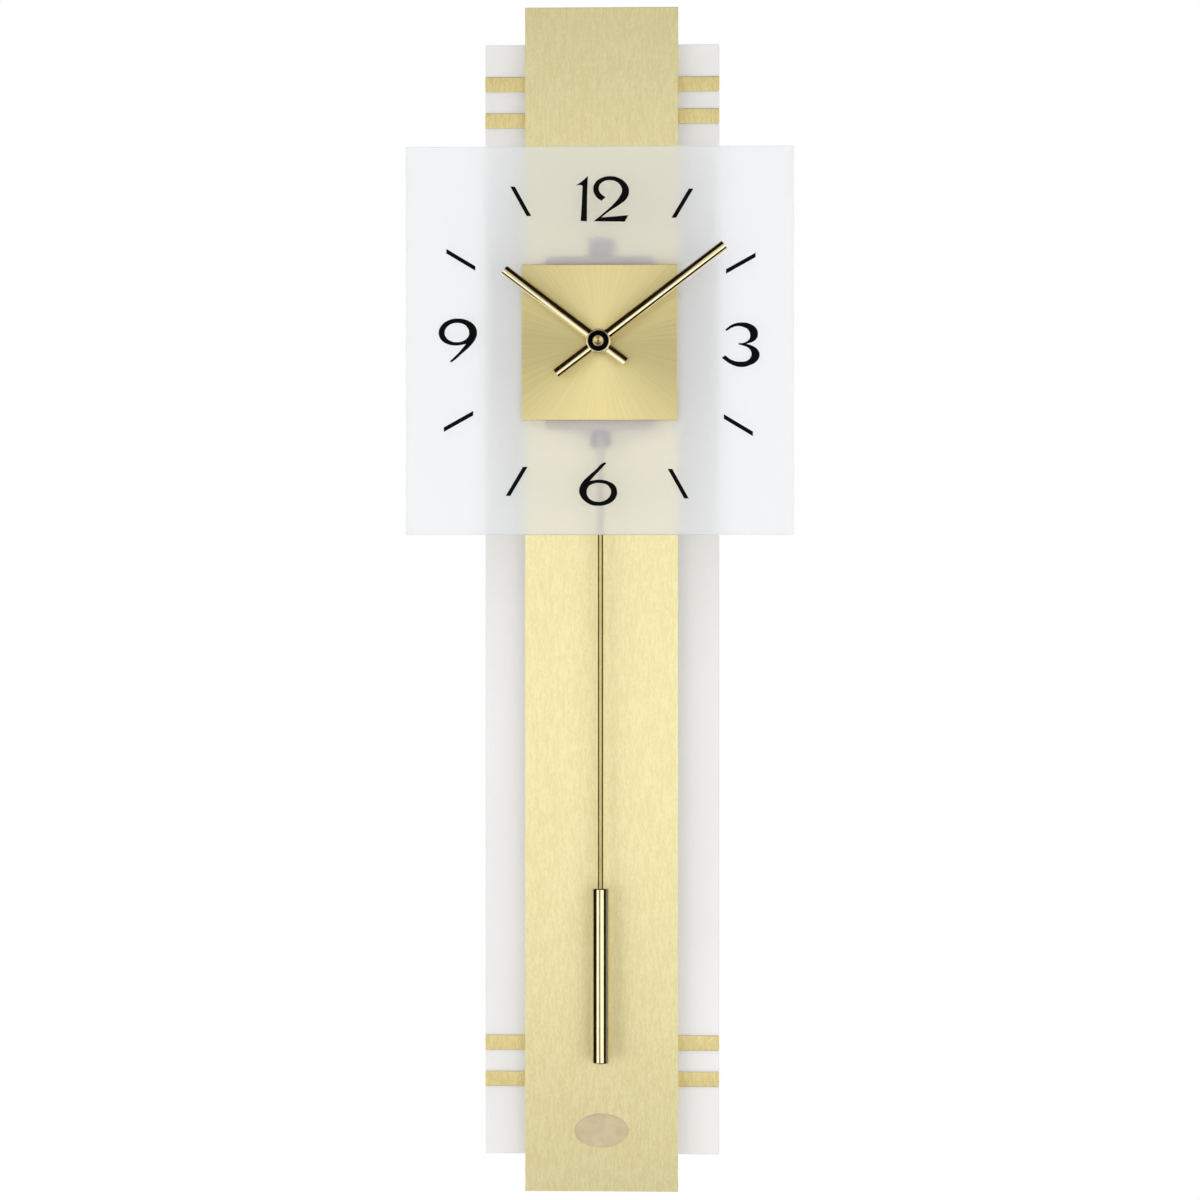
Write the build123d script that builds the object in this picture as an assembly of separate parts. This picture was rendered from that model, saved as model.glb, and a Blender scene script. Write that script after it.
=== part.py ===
from build123d import *
import os
from math import cos, pi, radians, sin

# A quartz pendulum wall clock, in millimetres: x to the right, z up, the front faces -y.
# The origin is the round opening of the keyhole plate, on the rear face of the back panel.

# Fits
running_gap = 0.05
seat_gap = 0.02
screw_gap = 0.05
recess_gap = 0.2
end_play = 0.3
moving_gap = 0.8

# Back panel and its keyhole plate
panel_width = 135.0
panel_thick = 12.0
hanger_drop = 45.0
keyhole_radius = 5.0
keyhole_slot_width = 5.0
keyhole_slot_rise = 9.0
hanger_width = 44.0
hanger_height = 34.0
hanger_thick = 2.0
hanger_lift = 4.0
hanger_screw_spread = 30.0
hanger_pocket_width = 16.0
hanger_pocket_height = 24.0
hanger_pocket_depth = 6.0
bumper_radius = 6.0
bumper_thick = 2.0
bumper_inset = 15.0

# Brass-coloured strips across the back panel
strip_height = 8.5
strip_thick = 1.0
strip_pitch = 20.9
close_strip_pitch = 18.4
upper_strip_drop = 23.0
lower_strip_rise = 43.5

# Tall front sheet on its core board
sheet_width = 88.0
sheet_height = 680.0
sheet_thick = 2.0
sheet_overhang = 20.0
core_thick = 8.0
core_inset = 4.0
badge_width = 31.0
badge_height = 19.5
badge_thick = 0.4
badge_rise = 35.0
window_width = 54.0
window_height = 56.0
window_rise = 17.0

# Screws: shank radius, shank length, head radius and head height of each kind
hanger_screw = (1.5, 11.0, 3.0, 1.2)
panel_screw = (2.0, 14.0, 4.0, 2.2)
movement_screw = (1.5, 9.0, 3.0, 1.8)
case_screw = (1.0, 8.0, 1.8, 0.9)
train_screw = (0.7, 5.0, 1.5, 0.9)
panel_screw_sink = 3.0
panel_screw_spread = 50.0
panel_screw_inset = 90.0

# Dial: glass, centre plate and the clamp on the threaded neck
dial_drop = 174.0
glass_size = 220.0
glass_thick = 4.0
glass_lift = 1.0
centre_plate_size = 88.0
centre_plate_thick = 1.5
neck_radius = 4.0
neck_length = 12.0
dial_washer_radius = 8.0
dial_washer_thick = 1.5
fixing_washer_radius = 6.5
fixing_washer_thick = 0.8
nut_across_flats = 12.0
nut_thick = 2.5

# Hands
hand_arbor_radius = 1.75
hour_tube_wall = 0.65
hand_bar_radius = 2.75
hand_bar_wall = 0.5
hand_hub_radius = 6.8
hand_hub_thick = 2.9
collet_radius = 3.6
collet_length = 2.0
minute_collet_length = 0.8
hand_spacing = 1.3
hour_hand_reach = 67.0
hour_hand_tail = 19.0
hour_hand_angle = 307.2
minute_hand_reach = 89.0
minute_hand_tail = 30.0
minute_hand_angle = 52.7
cap_radius = 5.6
cap_top_radius = 3.1
cap_rim = 0.6
cap_rise = 2.2
cap_socket_depth = 1.6

# Movement case and cover
case_width = 62.0
case_height = 98.0
case_depth = 26.0
case_wall = 1.5
case_corner = 3.0
cover_thick = 1.5
tab_width = 14.0
tab_rise = 12.0
ear_width = 10.0
ear_reach = 10.0
ear_drop = 30.0
tab_hole_inset = 5.5
case_boss_radius = 1.9
case_boss_spread = 40.0
case_boss_sink = 0.5

# Battery and contacts
battery_radius = 7.25
battery_length = 49.5
battery_nub_radius = 2.75
battery_nub_length = 1.0
battery_depth = 5.25
battery_gap = 0.15
cradle_rib_thick = 2.0
cradle_rib_spread = 32.0
contact_thick = 0.4
contact_width = 8.0
contact_height = 9.0

# Gear train: tooth shape, layers and wheels
tooth_rise = 0.9
tooth_sink = 1.15
tooth_root_share = 0.52
tooth_tip_share = 0.22
gear_face = 1.0
gear_gap = 0.8
first_gear_gap = 0.6
pinion_extra = 0.2
arbor_radius = 0.5
pivot_depth = 0.7
centre_pivot_radius = 0.8
setting_shaft_radius = 1.2
hour_module = 0.5
hour_teeth = 36
minute_pinion_teeth = 12
minute_wheel_teeth = 40
cannon_teeth = 10
centre_module = 0.3
centre_teeth = 64
third_pinion_teeth = 8
third_module = 0.3
third_teeth = 60
second_pinion_teeth = 8
second_module = 0.25
second_teeth = 60
intermediate_pinion_teeth = 10
intermediate_module = 0.2
intermediate_teeth = 60
rotor_pinion_teeth = 12
third_angle = 180.0
second_angle = 90.0
intermediate_angle = 20.0
rotor_angle = 0.0
knob_radius = 5.0
knob_thick = 4.0
knob_grip_radius = 0.7
knob_grips = 14

# Train plate, motor and circuit
train_plate_side_gap = 2.5
train_plate_drop = 14.0
train_plate_thick = 1.5
train_plate_gap = 2.2
pillar_radius = 1.8
pillar_inset = 2.5
rotor_magnet_radius = 1.8
rotor_magnet_length = 2.0
stator_thick = 0.8
stator_side_gap = 5.0
stator_top_gap = 2.3
stator_margin = 4.6
stator_bar = 3.2
stator_air_gap = 0.5
stator_peg_radius = 0.9
stator_peg_length = 1.4
winding_thick = 1.8
winding_end_gap = 1.0
winding_gap = 0.1
board_width = 21.0
board_height = 15.0
board_thick = 1.0
board_side_gap = 5.0
board_top_gap = 4.8
crystal_radius = 1.5
crystal_length = 8.0
chip_radius = 3.0
chip_thick = 1.2

# Pendulum: suspension, drive, rod and bob
pendulum_depth = 15.0
pivot_pin_radius = 1.0
pivot_pin_seat = 4.0
lever_eye_radius = 3.5
lever_eye_length = 8.0
lever_arm_width = 6.0
lever_thick = 4.0
lever_slot_width = 15.0
pivot_boss_radius = 2.4
magnet_radius = 4.0
magnet_thick = 3.0
magnet_wall = 1.5
magnet_drop = 14.0
magnet_foot_gap = 9.5
drive_coil_radius = 6.0
drive_coil_bore = 2.0
drive_coil_thick = 4.0
drive_coil_gap = 1.5
drive_coil_seat_radius = 4.5
fork_width = 11.5
fork_depth = 8.0
fork_height = 8.5
fork_roof = 1.5
fork_start = 1.5
rod_radius = 1.6
rod_gap = 0.2
rod_pin_radius = 0.8
rod_pin_drop = 3.0
rod_in_bob = 20.0
bob_radius = 5.0
bob_length = 100.0
bob_chamfer = 0.5
bob_drop = 310.5

# Heights, from the keyhole at z = 0
panel_height = sheet_height - 2 * sheet_overhang
panel_top = hanger_drop
panel_foot = panel_top - panel_height
panel_mid = (panel_top + panel_foot) / 2
sheet_top = panel_top + sheet_overhang
sheet_foot = panel_foot - sheet_overhang
dial_z = panel_top - dial_drop

# Depths, from the rear face of the back panel at y = 0
panel_front = -panel_thick
core_front = panel_front - core_thick
sheet_front = core_front - sheet_thick
cover_front = sheet_front - cover_thick
case_front = sheet_front - case_depth
case_inside = case_front + case_wall
glass_rear = case_front - dial_washer_thick
glass_front = glass_rear - glass_thick
plate_front = glass_front - centre_plate_thick
washer_front = plate_front - fixing_washer_thick
nut_front = washer_front - nut_thick
neck_front = case_front - neck_length
hour_collet_rear = neck_front - moving_gap
hour_bar_rear = hour_collet_rear - collet_length
hour_hub_front = hour_bar_rear - hand_hub_thick
minute_collet_rear = hour_hub_front - hand_spacing
minute_bar_rear = minute_collet_rear - minute_collet_length
minute_hub_front = minute_bar_rear - hand_hub_thick
pendulum_y = sheet_front - pendulum_depth

# Concentric tubes of the hands
hour_tube_bore = hand_arbor_radius + running_gap
hour_tube_radius = hour_tube_bore + hour_tube_wall
neck_bore = hour_tube_radius + running_gap


def block(x_span, y_span, z_span):
    """A box between two limits on each axis."""
    spans = (x_span, y_span, z_span)
    middle = [(low + high) / 2 for low, high in spans]
    size = [abs(high - low) for low, high in spans]
    return Pos(*middle) * Box(*size)


def drum(radius, y_one, y_two, x=0.0, z=0.0):
    """A cylinder along the depth axis."""
    return Pos(x, (y_one + y_two) / 2, z) * Rot(90, 0, 0) * Cylinder(radius, abs(y_one - y_two))


def around(middle, width):
    """The two limits of a span of this width."""
    return (middle - width / 2, middle + width / 2)


def screw(kind, x, z, seat, way):
    """A round-headed screw whose head sits on the face at y = seat; way points from head to tip."""
    shank_radius, shank_length, head_radius, head_height = kind
    shank = drum(shank_radius, seat, seat + way * shank_length, x, z)
    return shank + drum(head_radius, seat, seat - way * head_height, x, z)


def screw_hole(kind, x, z, seat, way):
    """The hole for a screw's shank, a little longer than the shank."""
    shank_radius, shank_length = kind[:2]
    return drum(shank_radius + screw_gap, seat, seat + way * (shank_length + end_play), x, z)


def group(shapes):
    """Separate solids kept together as one piece of the list."""
    return Compound(children=[solid for shape in shapes for solid in shape.solids()])


def window(y_one, y_two):
    """The way through the boards to the rear of the movement."""
    return block(around(0, window_width), (y_one, y_two), around(dial_z + window_rise, window_height))


# Screw places
hanger_screw_spots = [(side * hanger_screw_spread / 2, hanger_lift) for side in (-1, 1)]
panel_screw_pitch = panel_height / 2 - panel_screw_inset
panel_screw_spots = [
    (side * panel_screw_spread / 2, panel_mid + row * panel_screw_pitch)
    for side in (-1, 1)
    for row in (-1, 0, 1)
]
tab_top = dial_z + case_height / 2 + tab_rise
ear_spread = case_width + ear_reach
movement_screw_spots = [(0.0, tab_top - tab_hole_inset)] + [
    (side * ear_spread / 2, dial_z - ear_drop) for side in (-1, 1)
]


def back_panel():
    board = block(around(0, panel_width), (panel_front, 0), (panel_foot, panel_top))
    plate_recess = block(
        around(0, hanger_width + 2 * recess_gap),
        (-hanger_thick, 0),
        around(hanger_lift, hanger_height + 2 * recess_gap),
    )
    head_pocket = block(
        around(0, hanger_pocket_width),
        (-hanger_thick - hanger_pocket_depth, -hanger_thick),
        around(hanger_lift, hanger_pocket_height),
    )
    board -= plate_recess + head_pocket + window(panel_front, 0)
    for x, z in hanger_screw_spots:
        board -= screw_hole(hanger_screw, x, z, 0, -1)
    for x, z in panel_screw_spots:
        board -= screw_hole(panel_screw, x, z, -panel_screw_sink, -1)
        board -= drum(panel_screw[2] + recess_gap, 0, -panel_screw_sink, x, z)
    return board


def hanger_plate():
    plate = block(
        around(0, hanger_width), (-hanger_thick, 0), around(hanger_lift, hanger_height)
    )
    slot = block(
        around(0, keyhole_slot_width), (-hanger_thick, 0), (0, keyhole_slot_rise)
    )
    plate -= drum(keyhole_radius, 0, -hanger_thick) + slot
    plate -= drum(keyhole_slot_width / 2, 0, -hanger_thick, 0, keyhole_slot_rise)
    for x, z in hanger_screw_spots:
        plate -= screw_hole(hanger_screw, x, z, 0, -1)
    return plate


def hanger_screws():
    return group([screw(hanger_screw, x, z, 0, -1) for x, z in hanger_screw_spots])


def wall_bumpers():
    x = panel_width / 2 - bumper_inset
    rows = (panel_top - bumper_inset, panel_foot + bumper_inset)
    return group([drum(bumper_radius, 0, bumper_thick, side * x, z) for side in (-1, 1) for z in rows])


def core_board():
    half_width = sheet_width / 2 - core_inset
    board = block(
        (-half_width, half_width),
        (core_front, panel_front),
        (sheet_foot + core_inset, sheet_top - core_inset),
    )
    board -= window(core_front, panel_front)
    for x, z in panel_screw_spots:
        board -= screw_hole(panel_screw, x, z, -panel_screw_sink, -1)
    for x, z in movement_screw_spots:
        board -= screw_hole(movement_screw, x, z, cover_front, 1)
    return board


def panel_screws():
    return group([screw(panel_screw, x, z, -panel_screw_sink, -1) for x, z in panel_screw_spots])


def front_panel():
    sheet = block(around(0, sheet_width), (sheet_front, core_front), (sheet_foot, sheet_top))
    sheet -= window(sheet_front, core_front)
    for x, z in movement_screw_spots:
        sheet -= screw_hole(movement_screw, x, z, cover_front, 1)
    return sheet


def accent_strips():
    """Eight strips from the core board to the panel's side edges, in pairs."""
    inner = sheet_width / 2 - core_inset + recess_gap
    outer = panel_width / 2
    upper = panel_top - upper_strip_drop
    lower = panel_foot + lower_strip_rise
    heights = {
        "upper_left": (upper, upper - strip_pitch),
        "upper_right": (upper, upper - close_strip_pitch),
        "lower_left": (lower + strip_pitch, lower),
        "lower_right": (lower + strip_pitch, lower),
    }
    strips = {}
    for corner, levels in heights.items():
        side = -1 if corner.endswith("left") else 1
        for place, z in zip(("top", "base"), levels):
            strips[f"strip_{corner}_{place}"] = block(
                sorted((side * inner, side * outer)),
                (panel_front - strip_thick, panel_front),
                around(z, strip_height),
            )
    return strips


def oval_badge():
    face = Plane(
        origin=(0, sheet_front, sheet_foot + badge_rise), x_dir=(1, 0, 0), z_dir=(0, -1, 0)
    )
    return extrude(face * Ellipse(badge_width / 2, badge_height / 2), amount=badge_thick)


# Dial

def neck_hole(y_one, y_two):
    """Clearance for the threaded neck."""
    return drum(neck_radius + recess_gap, y_one, y_two, 0, dial_z)


def dial_washer():
    disc = drum(dial_washer_radius, case_front, glass_rear, 0, dial_z)
    return disc - neck_hole(case_front, glass_rear)


def dial_glass():
    pane = block(
        around(0, glass_size), (glass_front, glass_rear), around(dial_z + glass_lift, glass_size)
    )
    return pane - neck_hole(glass_rear, glass_front)


def centre_plate():
    plate = block(
        around(0, centre_plate_size), (plate_front, glass_front), around(dial_z, centre_plate_size)
    )
    return plate - neck_hole(glass_front, plate_front)


def fixing_washer():
    disc = drum(fixing_washer_radius, plate_front, washer_front, 0, dial_z)
    return disc - neck_hole(plate_front, washer_front)


def fixing_nut():
    face = Plane(origin=(0, washer_front, dial_z), x_dir=(1, 0, 0), z_dir=(0, -1, 0))
    hexagon = RegularPolygon(nut_across_flats / 2, 6, major_radius=False)
    nut = extrude(face * hexagon, amount=nut_thick)
    return nut - drum(neck_radius + screw_gap, washer_front, nut_front, 0, dial_z)


# Wheels of the movement, as places (x, z) worked out from the teeth

def step_from(start, teeth, module, angle):
    """The next axis, at the meshing distance of two wheels whose teeth add up to this count."""
    reach = teeth * module / 2
    return (start[0] + reach * cos(radians(angle)), start[1] + reach * sin(radians(angle)))


def mesh_turn(turn, teeth, next_teeth, angle):
    """The angle of a tooth on the next wheel that stands in a gap of this one."""
    line = radians(angle)
    return line + pi - ((turn - line) * teeth + pi) / next_teeth


def gear(teeth, module, spot, turn, layer, extra=0.0):
    """A straight-flanked spur wheel in one layer of the train."""
    pitch_radius = teeth * module / 2
    root_radius = pitch_radius - tooth_sink * module
    tip_radius = pitch_radius + tooth_rise * module
    step = 2 * pi / teeth
    flank = (
        (root_radius, -tooth_root_share / 2),
        (tip_radius, -tooth_tip_share / 2),
        (tip_radius, tooth_tip_share / 2),
        (root_radius, tooth_root_share / 2),
    )
    outline = []
    for tooth in range(teeth):
        for radius, share in flank:
            angle = turn + (tooth + share) * step
            outline.append((radius * cos(angle), radius * sin(angle)))
    rear = layer_rear(layer) + extra
    face = Plane(origin=(spot[0], rear, spot[1]), x_dir=(1, 0, 0), z_dir=(0, -1, 0))
    return extrude(face * Polygon(*outline, align=None), amount=gear_face + 2 * extra)


def layer_rear(layer):
    """The rear face of a gear layer, counted from the front of the case."""
    return case_inside + first_gear_gap + gear_face + layer * (gear_face + gear_gap)


cannon_module = hour_module * (hour_teeth + minute_pinion_teeth) / (minute_wheel_teeth + cannon_teeth)
centre_spot = (0.0, dial_z)
minute_spot = step_from(centre_spot, hour_teeth + minute_pinion_teeth, hour_module, 0)
third_spot = step_from(centre_spot, centre_teeth + third_pinion_teeth, centre_module, third_angle)
second_spot = step_from(third_spot, third_teeth + second_pinion_teeth, third_module, second_angle)
intermediate_spot = step_from(
    second_spot, second_teeth + intermediate_pinion_teeth, second_module, intermediate_angle
)
rotor_spot = step_from(
    intermediate_spot, intermediate_teeth + rotor_pinion_teeth, intermediate_module, rotor_angle
)

minute_wheel_turn = mesh_turn(0, cannon_teeth, minute_wheel_teeth, 0)
hour_wheel_turn = mesh_turn(minute_wheel_turn, minute_pinion_teeth, hour_teeth, 180)
third_turn = mesh_turn(0, centre_teeth, third_pinion_teeth, third_angle)
second_turn = mesh_turn(third_turn, third_teeth, second_pinion_teeth, second_angle)
intermediate_turn = mesh_turn(
    second_turn, second_teeth, intermediate_pinion_teeth, intermediate_angle
)
rotor_turn = mesh_turn(
    intermediate_turn, intermediate_teeth, rotor_pinion_teeth, rotor_angle
)

hour_layer, motion_layer, centre_layer, third_layer, second_layer, intermediate_layer = range(6)
magnet_front = layer_rear(intermediate_layer) + gear_gap
magnet_rear = magnet_front + rotor_magnet_length
stator_front = (magnet_front + magnet_rear - stator_thick) / 2
stator_rear = stator_front + stator_thick
train_front = stator_rear + train_plate_gap
train_rear = train_front + train_plate_thick
arbor_front = case_inside - pivot_depth
arbor_rear = train_rear - end_play


def arbor(spot):
    """A thin axle from the case's front wall to the train plate."""
    return drum(arbor_radius, arbor_rear, arbor_front, *spot)


def going_wheel(spot, turn, pinion, wheel, layer):
    """An axle with a pinion in one layer and a wheel in the next; each is (teeth, module)."""
    small = gear(*pinion, spot, turn, layer, pinion_extra)
    large = gear(*wheel, spot, turn, layer + 1)
    return arbor(spot) + small + large


def third_wheel():
    pinion = (third_pinion_teeth, centre_module)
    return going_wheel(third_spot, third_turn, pinion, (third_teeth, third_module), centre_layer)


def second_wheel():
    pinion = (second_pinion_teeth, third_module)
    return going_wheel(second_spot, second_turn, pinion, (second_teeth, second_module), third_layer)


def intermediate_wheel():
    pinion = (intermediate_pinion_teeth, second_module)
    wheel = (intermediate_teeth, intermediate_module)
    return going_wheel(intermediate_spot, intermediate_turn, pinion, wheel, second_layer)


def rotor():
    pinion = gear(
        rotor_pinion_teeth, intermediate_module, rotor_spot, rotor_turn, intermediate_layer, pinion_extra
    )
    magnet = drum(rotor_magnet_radius, magnet_rear, magnet_front, *rotor_spot)
    return arbor(rotor_spot) + pinion + magnet


def centre_wheel():
    wheel = gear(centre_teeth, centre_module, centre_spot, 0, centre_layer)
    rear = layer_rear(centre_layer)
    return wheel - drum(hand_arbor_radius + seat_gap, rear, rear - gear_face, *centre_spot)


def centre_arbor():
    """The axle of the minute hand, with the cannon pinion that drives the motion work."""
    step = layer_rear(centre_layer)
    stem = drum(hand_arbor_radius, step, minute_hub_front - cap_socket_depth, *centre_spot)
    pivot = drum(centre_pivot_radius, arbor_rear, step, *centre_spot)
    cannon = gear(cannon_teeth, cannon_module, centre_spot, 0, motion_layer, pinion_extra)
    return stem + pivot + cannon


def minute_wheel():
    """The wheel between cannon pinion and hour wheel, on the shaft of the setting knob."""
    wheel = gear(minute_wheel_teeth, cannon_module, minute_spot, minute_wheel_turn, motion_layer)
    pinion = gear(
        minute_pinion_teeth, hour_module, minute_spot, minute_wheel_turn, hour_layer, pinion_extra
    )
    shaft = drum(setting_shaft_radius, knob_rear, arbor_front, *minute_spot)
    return wheel + pinion + shaft


knob_front = sheet_front + moving_gap
knob_rear = knob_front + knob_thick


def setting_knob():
    knob = drum(knob_radius, knob_front, knob_rear, *minute_spot)
    knob -= drum(setting_shaft_radius + seat_gap, knob_front, knob_rear, *minute_spot)
    for grip in range(knob_grips):
        angle = 2 * pi * grip / knob_grips
        x = minute_spot[0] + knob_radius * cos(angle)
        z = minute_spot[1] + knob_radius * sin(angle)
        knob -= drum(knob_grip_radius, knob_front, knob_rear, x, z)
    return knob


def hour_wheel():
    wheel = gear(hour_teeth, hour_module, centre_spot, hour_wheel_turn, hour_layer)
    rear = layer_rear(hour_layer)
    tube = drum(hour_tube_radius, rear, hour_hub_front, *centre_spot)
    return wheel + tube - drum(hour_tube_bore, rear, hour_hub_front, *centre_spot)


# Hands

def hand(reach, tail, angle, bore, collet_rear, bar_rear):
    """A half-round channel bar through a round hub, with a collet behind it."""
    section = Plane(origin=(0, bar_rear, -tail), x_dir=(1, 0, 0), z_dir=(0, 0, 1))
    outside = Circle(hand_bar_radius) - Circle(hand_bar_radius - hand_bar_wall)
    front_half = Pos(0, -hand_bar_radius) * Rectangle(2 * hand_bar_radius, 2 * hand_bar_radius)
    bar = extrude(section * (outside & front_half), amount=reach + tail)
    hub_front = bar_rear - hand_hub_thick
    hub = drum(hand_hub_radius, bar_rear, hub_front) + drum(collet_radius, collet_rear, bar_rear)
    piece = bar + hub - drum(bore + seat_gap, collet_rear, hub_front)
    return Pos(0, 0, dial_z) * Rot(0, angle, 0) * piece


def hour_hand():
    return hand(
        hour_hand_reach, hour_hand_tail, hour_hand_angle, hour_tube_radius, hour_collet_rear, hour_bar_rear
    )


def minute_hand():
    return hand(
        minute_hand_reach,
        minute_hand_tail,
        minute_hand_angle,
        hand_arbor_radius,
        minute_collet_rear,
        minute_bar_rear,
    )


def hand_cap():
    """A low cone pressed on the end of the arbor."""
    rim_front = minute_hub_front - cap_rim
    cone = Rot(90, 0, 0) * Cone(cap_radius, cap_top_radius, cap_rise)
    cone = Pos(0, rim_front - cap_rise / 2, dial_z) * cone
    cap = drum(cap_radius, minute_hub_front, rim_front, *centre_spot) + cone
    socket_front = minute_hub_front - cap_socket_depth - end_play
    return cap - drum(hand_arbor_radius + seat_gap, minute_hub_front, socket_front, *centre_spot)


# Movement shell

case_half_width = case_width / 2
case_top = dial_z + case_height / 2
case_foot = dial_z - case_height / 2
battery_band = case_wall + 2 * case_boss_radius + end_play
battery_z = case_top - battery_band - battery_radius
battery_y = cover_front - battery_depth - battery_radius
train_top = battery_z - battery_radius - 2 * moving_gap
train_foot = dial_z - train_plate_drop
magnet_z = case_foot + case_wall + magnet_foot_gap
pivot_z = magnet_z + magnet_drop
lever_front = pendulum_y - lever_eye_length / 2 - end_play
lever_rear = pendulum_y + lever_eye_length / 2 + end_play
drive_coil_front = pendulum_y + lever_thick / 2 + drive_coil_gap
drive_coil_rear = drive_coil_front + drive_coil_thick

train_plate_width = case_width - 2 * (case_wall + train_plate_side_gap)
pillar_x = train_plate_width / 2 - pillar_inset
pillar_spots = [
    (side * pillar_x, z) for side in (-1, 1) for z in (train_foot + pillar_inset, train_top - pillar_inset)
]
case_boss_z = case_height / 2 - case_wall - case_boss_radius + case_boss_sink
case_boss_spots = [
    (side * case_boss_spread / 2, dial_z + end * case_boss_z) for side in (-1, 1) for end in (-1, 1)
]
stator_left = rotor_spot[0] - stator_margin
stator_right = train_plate_width / 2 - stator_side_gap
stator_foot = rotor_spot[1] - stator_margin
stator_top = train_top - stator_top_gap
rotor_block_right = rotor_spot[0] + stator_margin
stator_peg_spots = [
    (rotor_block_right - stator_bar / 2, stator_top - stator_bar / 2),
    (stator_right - stator_bar / 2, stator_top - stator_bar / 2),
    (stator_right - stator_bar / 2, stator_foot + stator_bar / 2),
]


def rounded_slab(width, height, y_one, y_two, corner):
    slab = block(around(0, width), (y_one, y_two), around(dial_z, height))
    return fillet(slab.edges().filter_by(Axis.Y), corner)


def battery_cradle():
    """Two ribs that hold the cell off the front wall."""
    ribs = [
        block(
            around(side * cradle_rib_spread / 2, cradle_rib_thick),
            (case_inside, battery_y),
            around(battery_z, 2 * battery_radius),
        )
        for side in (-1, 1)
    ]
    hollow = Pos(0, battery_y, battery_z) * Rot(0, 90, 0)
    return ribs[0] + ribs[1] - hollow * Cylinder(battery_radius + battery_gap, case_width)


def movement_case():
    """The front shell, with threaded neck, pillars, bosses and battery cradle."""
    shell = rounded_slab(case_width, case_height, case_front, cover_front, case_corner)
    inner_corner = case_corner - case_wall
    shell -= rounded_slab(
        case_width - 2 * case_wall, case_height - 2 * case_wall, case_inside, cover_front, inner_corner
    )
    shell += drum(neck_radius, case_front, neck_front, *centre_spot)
    shell -= drum(neck_bore, case_inside, neck_front, *centre_spot)
    for spot in pillar_spots:
        shell += drum(pillar_radius, case_inside, train_front, *spot)
        shell -= screw_hole(train_screw, *spot, train_rear, -1)
    for spot in case_boss_spots:
        shell += drum(case_boss_radius, case_inside, cover_front, *spot)
        shell -= screw_hole(case_screw, *spot, sheet_front - case_screw[3], -1)
    for spot in stator_peg_spots:
        shell += drum(pillar_radius, case_inside, stator_front, *spot)
        shell += drum(stator_peg_radius, stator_front, stator_front + stator_peg_length, *spot)
    shell += drum(pivot_boss_radius, case_inside, lever_front, 0, pivot_z)
    shell -= drum(pivot_pin_radius + seat_gap, lever_front, lever_front - pivot_pin_seat, 0, pivot_z)
    shell += battery_cradle()
    hole_front = arbor_front - end_play
    for spot in (third_spot, second_spot, intermediate_spot, rotor_spot):
        shell -= drum(arbor_radius + running_gap, case_inside, hole_front, *spot)
    shell -= drum(setting_shaft_radius + running_gap, case_inside, hole_front, *minute_spot)
    lever_way = block(
        around(0, lever_slot_width),
        around(pendulum_y, lever_thick + 2 * moving_gap),
        (case_foot, case_foot + case_wall),
    )
    return shell - lever_way


def movement_cover():
    """The rear plate, with the fixing tab and ears, the battery bay and the pendulum's bosses."""
    plate = rounded_slab(case_width, case_height, cover_front, sheet_front, case_corner)
    plate += block(around(0, tab_width), (cover_front, sheet_front), (case_top - case_corner, tab_top))
    plate += block(
        around(0, case_width + 2 * ear_reach),
        (cover_front, sheet_front),
        around(dial_z - ear_drop, ear_width),
    )
    bay_width = battery_length + 2 * battery_nub_length + 2 * moving_gap
    plate -= block(
        around(0, bay_width),
        (cover_front, sheet_front),
        around(battery_z, 2 * (battery_radius + battery_gap)),
    )
    plate -= drum(setting_shaft_radius + running_gap, cover_front, sheet_front, *minute_spot)
    for spot in movement_screw_spots:
        plate -= screw_hole(movement_screw, *spot, cover_front, 1)
    for x, z in case_boss_spots:
        head_seat = sheet_front - case_screw[3]
        plate -= drum(case_screw[2] + recess_gap, sheet_front, head_seat, x, z)
        plate -= screw_hole(case_screw, x, z, head_seat, -1)
    plate += drum(pivot_boss_radius, cover_front, lever_rear, 0, pivot_z)
    plate -= drum(pivot_pin_radius + seat_gap, lever_rear + pivot_pin_seat, lever_rear, 0, pivot_z)
    plate += drum(drive_coil_seat_radius, cover_front, drive_coil_rear, 0, magnet_z)
    plate += drum(drive_coil_bore - seat_gap, drive_coil_rear, drive_coil_front, 0, magnet_z)
    return plate


def movement_screws():
    return group([screw(movement_screw, x, z, cover_front, 1) for x, z in movement_screw_spots])


def case_screws():
    seat = sheet_front - case_screw[3]
    return group([screw(case_screw, x, z, seat, -1) for x, z in case_boss_spots])


# Inside the movement

def train_plate():
    plate = block(around(0, train_plate_width), (train_front, train_rear), (train_foot, train_top))
    for spot in (third_spot, second_spot, intermediate_spot, rotor_spot):
        plate -= drum(arbor_radius + running_gap, train_front, train_rear, *spot)
    plate -= drum(centre_pivot_radius + running_gap, train_front, train_rear, *centre_spot)
    plate -= drum(setting_shaft_radius + running_gap, train_front, train_rear, *minute_spot)
    for spot in pillar_spots:
        plate -= screw_hole(train_screw, *spot, train_rear, -1)
    return plate


def train_screws():
    return group([screw(train_screw, *spot, train_rear, -1) for spot in pillar_spots])


battery_left = -(battery_length + battery_nub_length) / 2
battery_right = battery_left + battery_length


def battery():
    lying = Rot(0, 90, 0)
    can = Pos((battery_left + battery_right) / 2, battery_y, battery_z) * lying
    nub = Pos(battery_right + battery_nub_length / 2, battery_y, battery_z) * lying
    return can * Cylinder(battery_radius, battery_length) + nub * Cylinder(
        battery_nub_radius, battery_nub_length
    )


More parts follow.
